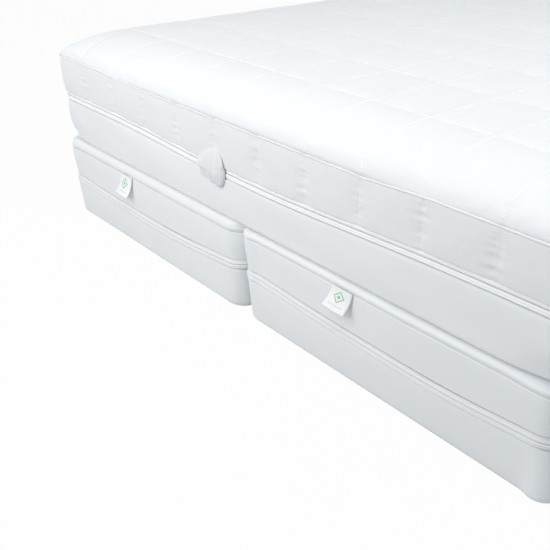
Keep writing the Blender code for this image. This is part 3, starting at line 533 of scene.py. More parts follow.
# The foundations' upper borders and top panels. The top panel is laid over the pad, rolls down over
# its edge, and is sewn to the border in a corded seam; cloth and pad give softly, so the roll wanders.
roll_knit = knit("roll_knit", ((0.82, 0.84, 0.86), (0.86, 0.875, 0.89)), 0.48, KNIT_PITCH, 0.00006, coat=0.08)
seam_knit = knit("seam_knit", ((0.86, 0.85, 0.865), (0.89, 0.88, 0.89)), 0.5, KNIT_PITCH, 0.00006)


def roll_wander(rim, seed):
    """How far the roll's face and its seam wander, in and out."""
    return 0.0022 * ripple(rim, 0.0, 0.17, 1, seed) + 0.0010 * ripple(rim, 0.5, 0.05, 1, seed)


def seam_shift(side):
    """How much higher than drawn each cover's seam is pulled; the left one hangs a little lower."""
    return -0.0032 if side == "left" else 0.0055


def upper_cover(side, rim, seed):
    """The smooth upper border, between the seam under the roll and the zip."""
    low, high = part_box(f"{side}_upper_border")
    foot = low.z + FOUNDATION_SAG - rim.hang
    face = []
    for share in np.linspace(0, 1, 18):
        swell = 0.0034 + 0.0056 * math.sin(math.pi / 2 * min(share / 0.85, 1)) ** 1.2
        wander = (0.0024 * math.sin(math.pi * min(share * 1.02, 1))
                  * ripple(rim, share * 0.05, 0.15, 0.09, seed))
        top_wander = share ** 3 * roll_wander(rim, seed)
        push = corner_push(side, rim) * (0.8 + 0.2 * share)
        face.append((swell + wander + top_wander + push, foot + (high.z - foot + seam_shift(side)) * share))
    back = [(out - COVER_WALL, height) for out, height in face[::-3]]
    piece = swept(f"{side}_cover_side", rim, face + back, cover_knit)
    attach(piece, f"{side}_foundation")
    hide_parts(f"{side}_upper_border")


def top_cover(side, rim, seed):
    """The top panel: flat over the pad, then a soft roll down to the seam."""
    low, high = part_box(f"{side}_top_panel")
    wander = roll_wander(rim, seed)
    dip = 0.0012 * ripple(rim, 0.9, 0.12, 1, seed + 4)
    push = corner_push(side, rim)
    top, foot = high.z, low.z + seam_shift(side)
    tall = top - foot
    face = []
    under_turn = 0.10
    for turn in np.linspace(-under_turn, math.pi / 2, 17):
        rise = (math.sin(turn) + math.sin(under_turn)) / (1 + math.sin(under_turn))
        out = -0.0030 + 0.0124 * math.cos(turn) ** 0.95
        face.append((out + push + wander * math.cos(turn) ** 0.5,
                     foot + tall * rise + dip * math.sin(turn) * math.cos(turn)))
    shares = (0.98, 0.9, 0.5, 0.1)
    flat = [(-0.012, top, share) for share in shares]
    under = [(-0.012, top - COVER_WALL, share) for share in shares[::-1]]
    inner = [(out - COVER_WALL, height) for out, height in face[12::-3]]
    rows = under + inner + face + flat
    piece = swept(f"{side}_cover_top", rim, rows, roll_knit, caps=True)
    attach(piece, f"{side}_foundation")
    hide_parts(f"{side}_top_panel")


def cover_seam(side, rim, seed):
    """The corded seam under the roll: a thin welt with the stitching's small waves."""
    low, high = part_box(f"{side}_top_seam")
    middle, radius = (low.z + high.z) / 2 + seam_shift(side), (high.z - low.z) / 2
    wander = roll_wander(rim, seed) + corner_push(side, rim)
    small = 0.0002 * np.sin(rim.walk[:-1] / 0.005 * 2 * math.pi)
    ring = [(0.0080 + wander + (radius + small) * 0.8 * math.cos(turn),
             middle + radius * 0.8 * math.sin(turn))
            for turn in np.linspace(0, 2 * math.pi, 9)[:-1]]
    piece = swept(f"{side}_cover_welt", rim, ring, seam_knit)
    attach(piece, f"{side}_foundation")
    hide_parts(f"{side}_top_seam")


for seed, (side, rim) in enumerate(foundation_rims.items()):
    upper_cover(side, rim, 11.3 + seed * 7)
    top_cover(side, rim, 11.3 + seed * 7)
    cover_seam(side, rim, 11.3 + seed * 7)


# The mattress's ticking, lower border and bottom panel, under the zip. The border is a stretch knit
# without filling, so it follows the foam, bulges over it and falls in soft slanting folds.
ZIP_SAG = 0.019
MATTRESS_CORNER = 0.034
RIM_OUT = 0.018
STITCH_GAP_X, STITCH_GAP_Y = 0.1350, 0.1885
STITCH_LINES = 10
low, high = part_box("edge_seam")
EDGE_LEVEL = high.z + 0.0003
MATTRESS_HALF = (0.747, 0.997)


def between_lines(gap, steps):
    """Stations over the nine cells between the ten stitch lines, closest together beside a line."""
    stations = []
    for cell in range(STITCH_LINES - 1):
        start = (cell - (STITCH_LINES - 1) / 2) * gap
        stations += [start + step for step in steps] + [start + gap / 2]
        stations += [start + gap - step for step in steps[:0:-1]]
    return stations + [(STITCH_LINES - 1) / 2 * gap]


def to_corner(half, gap, step):
    """Stations from the last stitch line to the start of the corner."""
    start, stop = (STITCH_LINES - 1) / 2 * gap, half - MATTRESS_CORNER
    count = max(1, round((stop - start) / step))
    return [start + (stop - start) * number / count for number in range(1, count + 1)]


def side_stations(half, gap, steps):
    """Stations all along one side of the mattress."""
    ends = to_corner(half, gap, 0.012)
    return [-end for end in ends[::-1]] + between_lines(gap, steps) + ends


near_x = (0, 0.003, 0.007, 0.013, 0.022, 0.036, 0.051)
near_y = (0, 0.003, 0.007, 0.013, 0.022, 0.036, 0.053, 0.072)
mattress_rim = Rim(0.0, *MATTRESS_HALF, MATTRESS_CORNER,
                   side_stations(MATTRESS_HALF[0], STITCH_GAP_X, near_x),
                   side_stations(MATTRESS_HALF[1], STITCH_GAP_Y, near_y), 9)
mattress_rim.hung(ZIP_SAG, (-1, -0.95, -0.82, -0.7, -0.58, -0.42, -0.27, -0.18, -0.05, 0.08, 0.25,
                            0.34, 0.433, 0.52,
                            0.62, 0.76, 0.88, 0.95, 1),
                  (0.002, 0.003, 0.002, 0.005, 0.006, 0.0085, 0.0125, 0.0155, 0.0190, 0.0195, 0.0180,
                   0.0160, 0.0125,
                   0.0080, 0.005, 0.004, 0.003, 0.001, 0))


def slanting_folds(rim, share):
    """Soft folds that lean along the border, strongest towards its ends."""
    slant = rim.walk[:-1] + 0.10 * share
    broad = np.array([noise.noise(Vector((walk / 0.21, share * 0.9, 2.7))) for walk in slant])
    ends = np.clip((np.abs(rim.share) - 0.45) / 0.5, 0, 1)
    narrow = np.array([noise.noise(Vector((walk / 0.075, share * 1.7, 8.1))) for walk in slant])
    return 0.0045 * broad + 0.0035 * ends * narrow


def drawn_corner(rim):
    """How far the knit is drawn in at the mattress's lower corners, most at the right."""
    half = np.where(rim.side % 2 == 0, rim.half_x, rim.half_y)
    from_end = half - np.abs(rim.along)
    return np.where(rim.x > 0, 0.016, 0.010) * np.exp(-(from_end / 0.065) ** 2)


def mattress_foot(rim):
    """The knit border below the mattress's zip."""
    low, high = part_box("lower_border")
    foot, top = low.z, high.z - rim.hang
    recess = drawn_corner(rim)
    face = []
    for turn in np.linspace(0, math.pi / 2, 6)[:-1]:
        face.append((-0.004 + 0.010 * math.sin(turn) - recess, foot + 0.012 * (1 - math.cos(turn))))
    for share in (*np.linspace(0, 0.94, 15), 0.965, 0.985, 1.0):
        height = foot + 0.012 + (top - foot - 0.012) * share
        swell = 0.006 + 0.005 * math.sin(math.pi * min(share * 1.0, 1) * 0.62)
        soft = math.sin(math.pi * min(max(share, 0.02), 0.98)) ** 0.7
        drawn = 0.0064 * max(0, (share - 0.95) / 0.05) ** 1.2 + recess * max(0, 1 - share / 0.45) ** 1.5
        face.append((swell - drawn + soft * slanting_folds(rim, share), height))
    back = [(out - COVER_WALL, height) for out, height in face[::-3]]
    piece = swept("mattress_cover_foot", rim, face + back, cover_knit)
    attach(piece, "mattress")
    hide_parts("lower_border")


def ticking(rim):
    """The mattress's own ticking, which the encasement hides: a plain knit sleeve."""
    low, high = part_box("ticking_border")
    recess = drawn_corner(rim)
    face = [(-0.0060 - recess, low.z), (0.0045 - recess * 0.4, low.z + 0.05), (0.0045, low.z + 0.11),
            (0.0045, high.z)]
    back = [(out - 0.0012, height) for out, height in face[::-1]]
    piece = swept("mattress_ticking", rim, face + back, cover_knit)
    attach(piece, "mattress")
    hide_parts("ticking_border")


mattress_foot(mattress_rim)
ticking(mattress_rim)
bottom_cover("bottom_panel", mattress_rim, 0.0025 + drawn_corner(mattress_rim), "mattress",
             "mattress_cover_bottom")
tape("zip_upper_tape", mattress_rim, ZIP_SAG, 0.0096, 0.0004, "mattress", True, 0.0035, white_tape, sewn=0.0)
tape("zip_lower_tape", mattress_rim, ZIP_SAG, 0.0102, 0.0008, "mattress", False, 0.0035,
     white_tape, sewn=0.0004)
coil("zip_coil", mattress_rim, ZIP_SAG, 0.0072, 0.0006, "mattress")


# The quilted border: knit over a thin filling, stitched through in upright lines, and turned under at
# its lower lip, which hangs over the zip. The thread draws small puckers into the cloth beside it.
QUILT_COLOURS = ((0.80, 0.82, 0.845), (0.835, 0.85, 0.87))
# Painted highlight: the pale colour laid along the quilt's stitch lines, standing in for the light the stitch
# channels catch.
CHANNEL_HIGHLIGHT = (0.97, 0.975, 0.985)


def near_lines(tree, place, gap, width):
    """1 on the stitch lines that cross one axis, falling to 0 at a width beside them."""
    value = place
    for operation, amount in (("ABSOLUTE", 0), ("DIVIDE", gap),
                              ("MINIMUM", STITCH_LINES / 2), ("PINGPONG", 0.5)):
        node = tree.nodes.new("ShaderNodeMath")
        node.operation = operation
        tree.links.new(value, node.inputs[0])
        node.inputs[1].default_value = amount
        value = node.outputs[0]
    reach = tree.nodes.new("ShaderNodeMapRange")
    reach.interpolation_type = "SMOOTHSTEP"
    reach.inputs["From Min"].default_value = 0.5 - width / gap
    reach.inputs["From Max"].default_value = 0.5
    tree.links.new(value, reach.inputs["Value"])
    return reach.outputs["Result"]


def quilted_knit():
    """The quilt's knit: a painted highlight along the stitch lines, strongest on the top, stands in for the
    light the channels catch there; creased beside the lines and wrinkled.
    """
    material = knit("quilt_knit", QUILT_COLOURS, 0.55, 0.0014, 0.00010, coat=0.08)
    tree = material.node_tree
    shader = tree.nodes["Principled BSDF"]
    where = tree.nodes["Texture Coordinate"].outputs["Object"]
    axes = tree.nodes.new("ShaderNodeSeparateXYZ")
    tree.links.new(where, axes.inputs[0])
    under = shader.inputs["Normal"].links[0].from_socket
    painted_highlight = None
    for axis, gap, scale in ((0, STITCH_GAP_X, (9, 60, 60)), (1, STITCH_GAP_Y, (60, 9, 60))):
        crease = texture(tree, "Noise", scaled(tree, where, scale), scale=1, detail=2)
        both = tree.nodes.new("ShaderNodeMath")
        both.operation = "MULTIPLY"
        tree.links.new(near_lines(tree, axes.outputs[axis], gap, 0.013), both.inputs[0])
        tree.links.new(crease.outputs[0], both.inputs[1])
        under = bump(tree, both.outputs[0], 0.0022, 0.7, under)
        # Painted highlight: a pale band 2.8 mm wide on each stitch line, the paler of the two directions
        # where they cross.
        line = near_lines(tree, axes.outputs[axis], gap, 0.0028)
        if painted_highlight:
            most = tree.nodes.new("ShaderNodeMath")
            most.operation = "MAXIMUM"
            tree.links.new(painted_highlight, most.inputs[0])
            tree.links.new(line, most.inputs[1])
            line = most.outputs[0]
        painted_highlight = line
    # The painted highlight is full on the flat top and fades to a fifth of it down the shoulder and on the
    # border.
    highlight_fade = tree.nodes.new("ShaderNodeMapRange")
    highlight_fade.inputs["From Min"].default_value = EDGE_LEVEL + 0.020
    highlight_fade.inputs["From Max"].default_value = EDGE_LEVEL + 0.054
    highlight_fade.inputs["To Min"].default_value = 0.2
    tree.links.new(axes.outputs[2], highlight_fade.inputs["Value"])
    highlight_share = tree.nodes.new("ShaderNodeMath")
    highlight_share.operation = "MULTIPLY"
    tree.links.new(painted_highlight, highlight_share.inputs[0])
    tree.links.new(highlight_fade.outputs["Result"], highlight_share.inputs[1])
    # This mix paints the highlight colour into the knit's base colour along the lines.
    pale = tree.nodes.new("ShaderNodeMix")
    pale.data_type = "RGBA"
    pale.inputs[7].default_value = (*CHANNEL_HIGHLIGHT, 1)
    tree.links.new(highlight_share.outputs[0], pale.inputs[0])
    tree.links.new(shader.inputs["Base Color"].links[0].from_socket, pale.inputs[6])
    tree.links.new(pale.outputs[2], shader.inputs["Base Color"])
    fine = texture(tree, "Noise", scaled(tree, where, (26, 11, 26), (0, 0, 0.5)),
                   scale=1, detail=3, distortion=0.4)
    tree.links.new(bump(tree, fine.outputs[0], 0.0030, 0.5, under), shader.inputs["Normal"])
    return material


quilt_knit = quilted_knit()


def line_distance(value, gap):
    """How far a place is from the nearest stitch line, and which line that is."""
    half = (STITCH_LINES - 1) / 2
    line = np.clip(np.round(value / gap + half), 0, STITCH_LINES - 1)
    return np.abs(value - (line - half) * gap), line


def pillow(distance, gap, width):
    """0 on a stitch line, rising steeply beside it to 1 in the middle of a cell."""
    share = np.clip(distance / (gap / 2), 0, 1)
    return (1 - (1 - share) ** 2) ** 0.5 * (1 - np.exp(-distance / width))


def puckers(distance, line, along, spacing, seed):
    """Small creases that run away from a stitch line, one about every `spacing` along it."""
    flat = np.broadcast_arrays(distance, line, along)
    values = [noise.noise(Vector((a / spacing, d * 12, seed + 3.7 * n)))
              for d, n, a in zip(*(part.ravel() for part in flat))]
    near = np.exp(-((flat[0] - 0.004) / 0.009) ** 2)
    return near * np.array(values).reshape(flat[0].shape)


def quilted_border(rim):
    """The border's face with its cells, lip and back."""
    low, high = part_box("quilted_border")
    top, foot = high.z - 0.007 * rim.sag(), low.z + ZIP_SAG - rim.hang
    gaps = np.where(rim.side % 2 == 0, STITCH_GAP_X, STITCH_GAP_Y)
    distance, line = line_distance(rim.along, gaps)
    cell = pillow(distance, gaps, 0.0045)
    face = []
    for share in np.linspace(0, 1, 26):
        height = foot + (top - foot) * share
        bow = math.sin(math.pi * (0.10 + 0.84 * share)) ** 0.6
        lean = 0.0125 + 0.004 * share
        crease = puckers(distance, line + 11 * rim.side, np.full(rim.count, share * 0.088), 0.008, 4.2)
        soft = 0.0012 * ripple(rim, share * 0.09, 0.09, 0.05, 1.9)
        face.append((lean + 0.0050 * cell * bow + 0.0038 * crease * bow + soft * bow, height))
    lip = [(0.0125 + 0.0052 * cell * 0.5 - 0.0035 * (1 - math.cos(turn)) - 0.001,
            foot - 0.0028 * math.sin(turn))
           for turn in (math.pi * 0.75, math.pi * 0.5, math.pi * 0.25)]
    back = [(0.0120, top), (0.0085, foot + 0.006)]
    piece = swept("quilted_side", rim, lip + face + back, quilt_knit)
    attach(piece, "mattress")
    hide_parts("quilted_border")
    points = np.array([rim.at(*row) for row in face])
    outwards = np.stack([rim.nx, rim.ny, np.zeros(rim.count)], axis=-1)
    on_line = np.flatnonzero((distance < 0.0005) & (np.abs(rim.share) < 0.9))
    return [(points[:, index], np.broadcast_to(outwards[index], (len(points), 3))) for index in on_line]


border_lines = quilted_border(mattress_rim)


# The edge seam: the top and the border are sewn together inside out, so a thin welt stands between
# them, drawn in at each stitch line and pulled to a small ear at the corners.
def edge_welt(rim):
    """The welt round the top, oval in section."""
    low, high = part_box("edge_seam")
    middle = high.z - 0.002 - 0.007 * rim.sag()
    gaps = np.where(rim.side % 2 == 0, STITCH_GAP_X, STITCH_GAP_Y)
    distance, line = line_distance(rim.along, gaps)
    drawn = -0.0018 * np.exp(-distance / 0.010) + 0.0008 * ripple(rim, 0.8, 0.03, 1, 2.2)
    lift = 0.0010 * ripple(rim, 0.3, 0.05, 1, 6.4) - 0.0012 * np.exp(-distance / 0.010)
    ear = 0.004 * np.clip(np.abs(rim.nx * rim.ny) * 2, 0, 1) ** 6
    ring = [(RIM_OUT - 0.0004 + drawn + ear + 0.0022 * math.cos(turn),
             middle + lift + 0.0018 * math.sin(turn))
            for turn in np.linspace(0, 2 * math.pi, 11)[:-1]]
    piece = swept("edge_welt", rim, ring, quilt_knit)
    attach(piece, "mattress")
    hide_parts("edge_seam")


edge_welt(mattress_rim)


# The quilted top: knit, filling and backing stitched through in a grid and laid over the crowned foam.
# Cloth, held along the stitch lines, is blown up between them and buckles into fine wrinkles.
SHOULDER = 0.142
CROWN = 0.056
ROUNDNESS = 2.2
PUFF = 0.0023
TOP_THICKNESS = 0.006
top_near_x = (0, 0.0025, 0.005, 0.008, 0.012, 0.018, 0.027, 0.039, 0.053)
top_near_y = (0, 0.0025, 0.005, 0.008, 0.012, 0.018, 0.027, 0.038, 0.051, 0.064, 0.078)


def shoulder_profile(steps):
    """(inwards, rise) as shares down the round shoulder, from its rim to the flat."""
    turns = np.linspace(0, math.pi / 2, steps + 1)
    return 1 - np.cos(turns) ** (2 / ROUNDNESS), np.sin(turns) ** (2 / ROUNDNESS)


def top_axis(half, gap, steps):
    """Stations over the top in one direction, and the share of the crown reached at each."""
    inwards, rise = shoulder_profile(18)
    last_line = (STITCH_LINES - 1) / 2 * gap
    shoulder = [(half - SHOULDER * share, up) for share, up in zip(inwards, rise)]
    shoulder = [(place, up) for place, up in shoulder if place > last_line + 0.004][::-1]
    level = np.arange(last_line + 0.009, shoulder[0][0] - 0.006, 0.010)
    right = [(place, 1.0) for place in level] + shoulder
    left = [(-place, up) for place, up in right[::-1]]
    both = left + [(place, 1.0) for place in between_lines(gap, steps)] + right
    return np.array([place for place, up in both]), np.array([up for place, up in both])


def rounded(x, y, out):
    """Moves points of the square outline onto the round-cornered one, `out` beyond it at the rim."""
    over, run = [], []
    for value, half in zip((x, y), MATTRESS_HALF):
        straight = half - MATTRESS_CORNER
        over.append(np.maximum(np.abs(value) - straight, 0) / MATTRESS_CORNER)
        run.append(np.minimum(np.abs(value), straight))
    reach = MATTRESS_CORNER + out
    far_x = run[0] + reach * over[0] * np.sqrt(1 - over[1] ** 2 / 2)
    far_y = run[1] + reach * over[1] * np.sqrt(1 - over[0] ** 2 / 2)
    return np.sign(x) * far_x, np.sign(y) * far_y


def crowned(x, y, rise):
    """The top's places before it swells: level inside, and round down to the seam."""
    share = np.minimum(np.abs(x) / MATTRESS_HALF[0], np.abs(y) / MATTRESS_HALF[1])
    far = np.clip((share - 0.45) / 0.55, 0, 1)
    sag = 0.007 * (1 - far * far * (3 - 2 * far)) * (1 - rise)
    slack = 0.0036 * np.sin(math.pi * np.clip(rise / 0.8, 0, 1)) ** 0.8
    place_x, place_y = rounded(x, y, RIM_OUT - 0.0008 - slack)
    tucked = 0.0020 * np.exp(-rise / 0.03)
    return np.stack([place_x, place_y, EDGE_LEVEL + CROWN * rise - sag - tucked], axis=-1)


def upward_normals(points):
    """The normal at each point of a grid, pointing up and out."""
    along, across = np.gradient(points, axis=1), np.gradient(points, axis=0)
    normals = np.cross(along, across)
    normals /= np.maximum(np.linalg.norm(normals, axis=-1, keepdims=True), 1e-12)
    return normals


def blown_up(piece, held, pressure, slack, frames):
    """Where each point of a cloth goes when it is held at some points and blown up between them."""
    group = piece.vertex_groups.new(name="stitched")
    group.add(np.flatnonzero(held).tolist(), 1.0, "REPLACE")
    cloth = piece.modifiers.new("cloth", "CLOTH")
    settings = cloth.settings
    settings.quality = 5
    settings.mass = 0.3
    settings.tension_stiffness = settings.compression_stiffness = 15
    settings.shear_stiffness = 5
    settings.bending_stiffness = 0.5
    settings.tension_damping = settings.compression_damping = settings.shear_damping = 5
    settings.vertex_group_mass = "stitched"
    settings.use_pressure = True
    settings.uniform_pressure_force = pressure
    settings.shrink_min = -slack
    settings.effector_weights.gravity = 0
    cloth.collision_settings.use_collision = False
    scene = bpy.context.scene
    cloth.point_cache.frame_end = frames
    for number in range(1, frames + 1):
        scene.frame_set(number)
    bpy.context.view_layer.objects.active = piece
    bpy.ops.object.modifier_apply(modifier=cloth.name)
    scene.frame_set(1)
    places = np.zeros(len(piece.data.vertices) * 3)
    piece.data.vertices.foreach_get("co", places)
    return places.reshape(-1, 3)


def swollen(points, uv, held, pressure, slack, cap, frames):
    """A grid of points after its cloth is blown up. No point moves as far as the cap."""
    cloth = grid_object("cloth", points, uv, quilt_knit)
    if cloth.data.polygons[len(cloth.data.polygons) // 2].normal.z < 0:
        cloth.data.flip_normals()
    after = blown_up(cloth, held.ravel(), pressure, slack, frames).reshape(points.shape)
    bpy.data.objects.remove(cloth)
    move = after - points
    length = np.linalg.norm(move, axis=-1, keepdims=True)
    return points + move * cap * np.tanh(length / cap) / np.maximum(length, 1e-9)


def closed_pad(name, face, back, uv, material):
    """A closed piece from two grids of points, its face and its back, joined round their rims."""
    rows, columns = face.shape[:2]
    row, column = np.meshgrid(np.arange(rows - 1), np.arange(columns - 1), indexing="ij")
    first = row * columns + column
    quads = np.stack([first, first + 1, first + columns + 1, first + columns], axis=-1).reshape(-1, 4)
    grid = np.arange(rows * columns).reshape(rows, columns)
    loop = np.concatenate([grid[0, :-1], grid[:-1, -1], grid[-1, :0:-1], grid[:0:-1, 0]])
    after = np.roll(loop, -1)
    total = rows * columns
    edge = np.stack([after, loop, loop + total, after + total], axis=-1)
    faces = np.concatenate([quads, quads[:, ::-1] + total, edge])
    places = np.concatenate([face.reshape(-1, 3), back.reshape(-1, 3)])
    data = bpy.data.meshes.new(name)
    data.from_pydata(places.tolist(), [], faces.tolist())
    layer = data.uv_layers.new(name="UVMap")
    flat_uv = np.concatenate([uv.reshape(-1, 2), uv.reshape(-1, 2)])
    layer.data.foreach_set("uv", flat_uv[faces.ravel()].astype(np.float32).ravel())
    data.shade_smooth()
    data.materials.append(material)
    piece = bpy.data.objects.new(name, data)
    bpy.context.scene.collection.objects.link(piece)
    return piece


top_xs, top_rise_x = top_axis(MATTRESS_HALF[0], STITCH_GAP_X, top_near_x)
top_ys, top_rise_y = top_axis(MATTRESS_HALF[1], STITCH_GAP_Y, top_near_y)


def channelled(distance, gap):
    """0 on a stitch line, up steeply beside it, and only a little higher in the cell's middle."""
    share = np.clip(distance / (gap / 2), 0, 1)
    return 0.72 * (1 - np.exp(-distance / 0.0045)) + 0.28 * np.sin(share * math.pi / 2)


def quilted_top():
    """The whole top: its crown, the cells blown up between the stitch lines, and its back."""
    x, y = np.meshgrid(top_xs, top_ys)
    rise = top_rise_y[:, None] * top_rise_x[None, :]
    flat = np.stack([x, y], axis=-1)
    level = crowned(x, y, rise)
    normals = upward_normals(level)
    away_x = line_distance(x, STITCH_GAP_X)[0]
    away_y = line_distance(y, STITCH_GAP_Y)[0]
    rim_ease = np.clip(rise / 0.25, 0, 1)
    lift = PUFF * channelled(away_x, STITCH_GAP_X) * channelled(away_y, STITCH_GAP_Y) * rim_ease
    gathers = np.array([noise.noise(Vector((a / 0.014, b / 0.014, c * 3.0)))
                        for a, b, c in zip(x.ravel(), y.ravel(), rise.ravel())]).reshape(x.shape)
    lift += 0.0016 * gathers * np.exp(-rise / 0.22) * np.clip(rise / 0.02, 0, 1)
    face = level + normals * lift[..., None]
    held = (away_x < 0.0005) | (away_y < 0.0005) | (rise < 0.01)
    face = swollen(face, flat, held, pressure=0.8, slack=0.004, cap=0.0026, frames=14)
    piece = closed_pad("quilted_top_pad", face, level - normals * TOP_THICKNESS, flat, quilt_knit)
    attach(piece, "mattress")
    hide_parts("quilted_top")
    return level, normals


top_level, top_normals = quilted_top()


# The comfort foam: the mattress's soft top layer, cut to a crown that fills the quilted top.
def comfort_layer():
    """The crowned slab: the top's own form, thinner by the quilt, on a flat underside."""
    low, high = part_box("comfort_foam")
    rows = np.unique(np.append(np.arange(0, len(top_ys), 4), len(top_ys) - 1))
    columns = np.unique(np.append(np.arange(0, len(top_xs), 4), len(top_xs) - 1))
    x, y = np.meshgrid(top_xs[columns], top_ys[rows])
    inside = np.ix_(rows, columns)
    face = top_level[inside] - top_normals[inside] * (TOP_THICKNESS + 0.0016)
    place_x, place_y = rounded(x, y, 0.0070)
    face[..., 0] = np.sign(place_x) * np.minimum(np.abs(face[..., 0]), np.abs(place_x))
    face[..., 1] = np.sign(place_y) * np.minimum(np.abs(face[..., 1]), np.abs(place_y))
    foot_x, foot_y = rounded(x, y, 0.0060)
    back = np.stack([foot_x, foot_y, np.full(x.shape, low.z + 0.0004)], axis=-1)
    piece = closed_pad("comfort_foam_layer", face, back, np.stack([x, y], axis=-1), cut_foam)
    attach(piece, "mattress")
    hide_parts("comfort_foam")


comfort_layer()


# The quilting thread: one machine stitch after another along every line, over the top and down the
# border, each drawn down into the cloth at both its ends.
STITCH_PITCH = 0.0085
STITCH_LENGTH = 0.0062
THREAD_RADIUS = 0.00040


def thread_finish():
    """Spun polyester thread: white, with a fine twist."""
    material, tree, shader, where = new_material("quilting_thread", 0.5, sheen_weight=0.3)
    twist = texture(tree, "Noise", where.outputs["Object"], scale=900, detail=2)
    tree.links.new(mixed(tree, (0.93, 0.935, 0.945), (0.97, 0.975, 0.98), twist.outputs[0]),
                   shader.inputs["Base Color"])
    tree.links.new(bump(tree, twist.outputs[0], 0.0002), shader.inputs["Normal"])
    return material


quilting_thread = thread_finish()


def stitched(name, lines, body):
    """Rows of stitches along lines of points, each with its normals."""
    ring = np.array([(math.cos(turn), math.sin(turn)) for turn in np.arange(4) * math.pi / 2])
    ends, bodies = (-0.5, 0.5), (-0.25, 0.25)
    template = [(ends[0], 0, -1.0)] + [(bodies[0], *spoke) for spoke in ring]
    template += [(bodies[1], *spoke) for spoke in ring] + [(ends[1], 0, -1.0)]
    template = np.array(template) * (STITCH_LENGTH, THREAD_RADIUS, THREAD_RADIUS)
    quads = [(5 + k, 5 + (k + 1) % 4, 1 + (k + 1) % 4, 1 + k) for k in range(4)]
    cones = [(0, 1 + k, 1 + (k + 1) % 4) for k in range(4)] + [(9, 5 + (k + 1) % 4, 5 + k) for k in range(4)]
    places = []
    for points, normals in lines:
        steps = np.linalg.norm(np.diff(points, axis=0), axis=1)
        walk = np.concatenate(([0], np.cumsum(steps)))
        count = int(walk[-1] / STITCH_PITCH)
        at = (np.arange(count) + 0.5) * walk[-1] / count
        centre = np.stack([np.interp(at, walk, points[:, axis]) for axis in range(3)], axis=-1)
        ahead = np.stack([np.interp(at + 0.002, walk, points[:, axis]) for axis in range(3)], axis=-1)
        behind = np.stack([np.interp(at - 0.002, walk, points[:, axis]) for axis in range(3)], axis=-1)
        up = np.stack([np.interp(at, walk, normals[:, axis]) for axis in range(3)], axis=-1)
        along = ahead - behind
        along /= np.linalg.norm(along, axis=1, keepdims=True)
        aside = np.cross(up, along)
        aside /= np.linalg.norm(aside, axis=1, keepdims=True)
        up = np.cross(along, aside)
        frames = np.stack([along, aside, up], axis=1)
        places.append(centre[:, None, :] + up[:, None, :] * 0.0003
                      + np.einsum("vk,skj->svj", template, frames))
    places = np.concatenate(places)
    offsets = (np.arange(len(places)) * len(template)).tolist()
    faces = [tuple(corner + offset for corner in face) for offset in offsets for face in quads + cones]
    data = bpy.data.meshes.new(name)
    data.from_pydata(places.reshape(-1, 3).tolist(), [], faces)
    data.shade_smooth()
    data.materials.append(quilting_thread)
    piece = bpy.data.objects.new(name, data)
    bpy.context.scene.collection.objects.link(piece)
    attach(piece, body)


def on_lines(places, gap):
    """The indexes of the stations that lie on a stitch line."""
    return np.flatnonzero(line_distance(places, gap)[0] < 0.0005)


top_lines = [(top_level[:, index], top_normals[:, index]) for index in on_lines(top_xs, STITCH_GAP_X)]
top_lines += [(top_level[index], top_normals[index]) for index in on_lines(top_ys, STITCH_GAP_Y)]
stitched("top_stitches", top_lines, "mattress")
stitched("border_stitches", border_lines, "mattress")


# The hood over the zip's slider: a pouch of the quilt's knit, given a darker copy of it as painted shade,
# sewn to the border along an arch. It is full above, gathered on an elastic below its middle, and open
# underneath for a fingertip.
HOOD_MIDDLE, HOOD_WIDTH = -0.080, 0.088
HOOD_RISE, HOOD_DROP, HOOD_WAIST = 0.035, 0.036, 0.012
HOOD_FULLNESS = 0.0066
HOOD_WALL = 0.0012
LIP_LEVEL = 0.3213
# Painted shade: the quilt's knit a little darker, so the hood's up-facing dome reads as dim as the border
# beside it.
hood_knit_painted_shade = knit("hood_knit_painted_shade", ((0.765, 0.79, 0.82), (0.80, 0.82, 0.845)), 0.6, 0.0014, 0.00010)


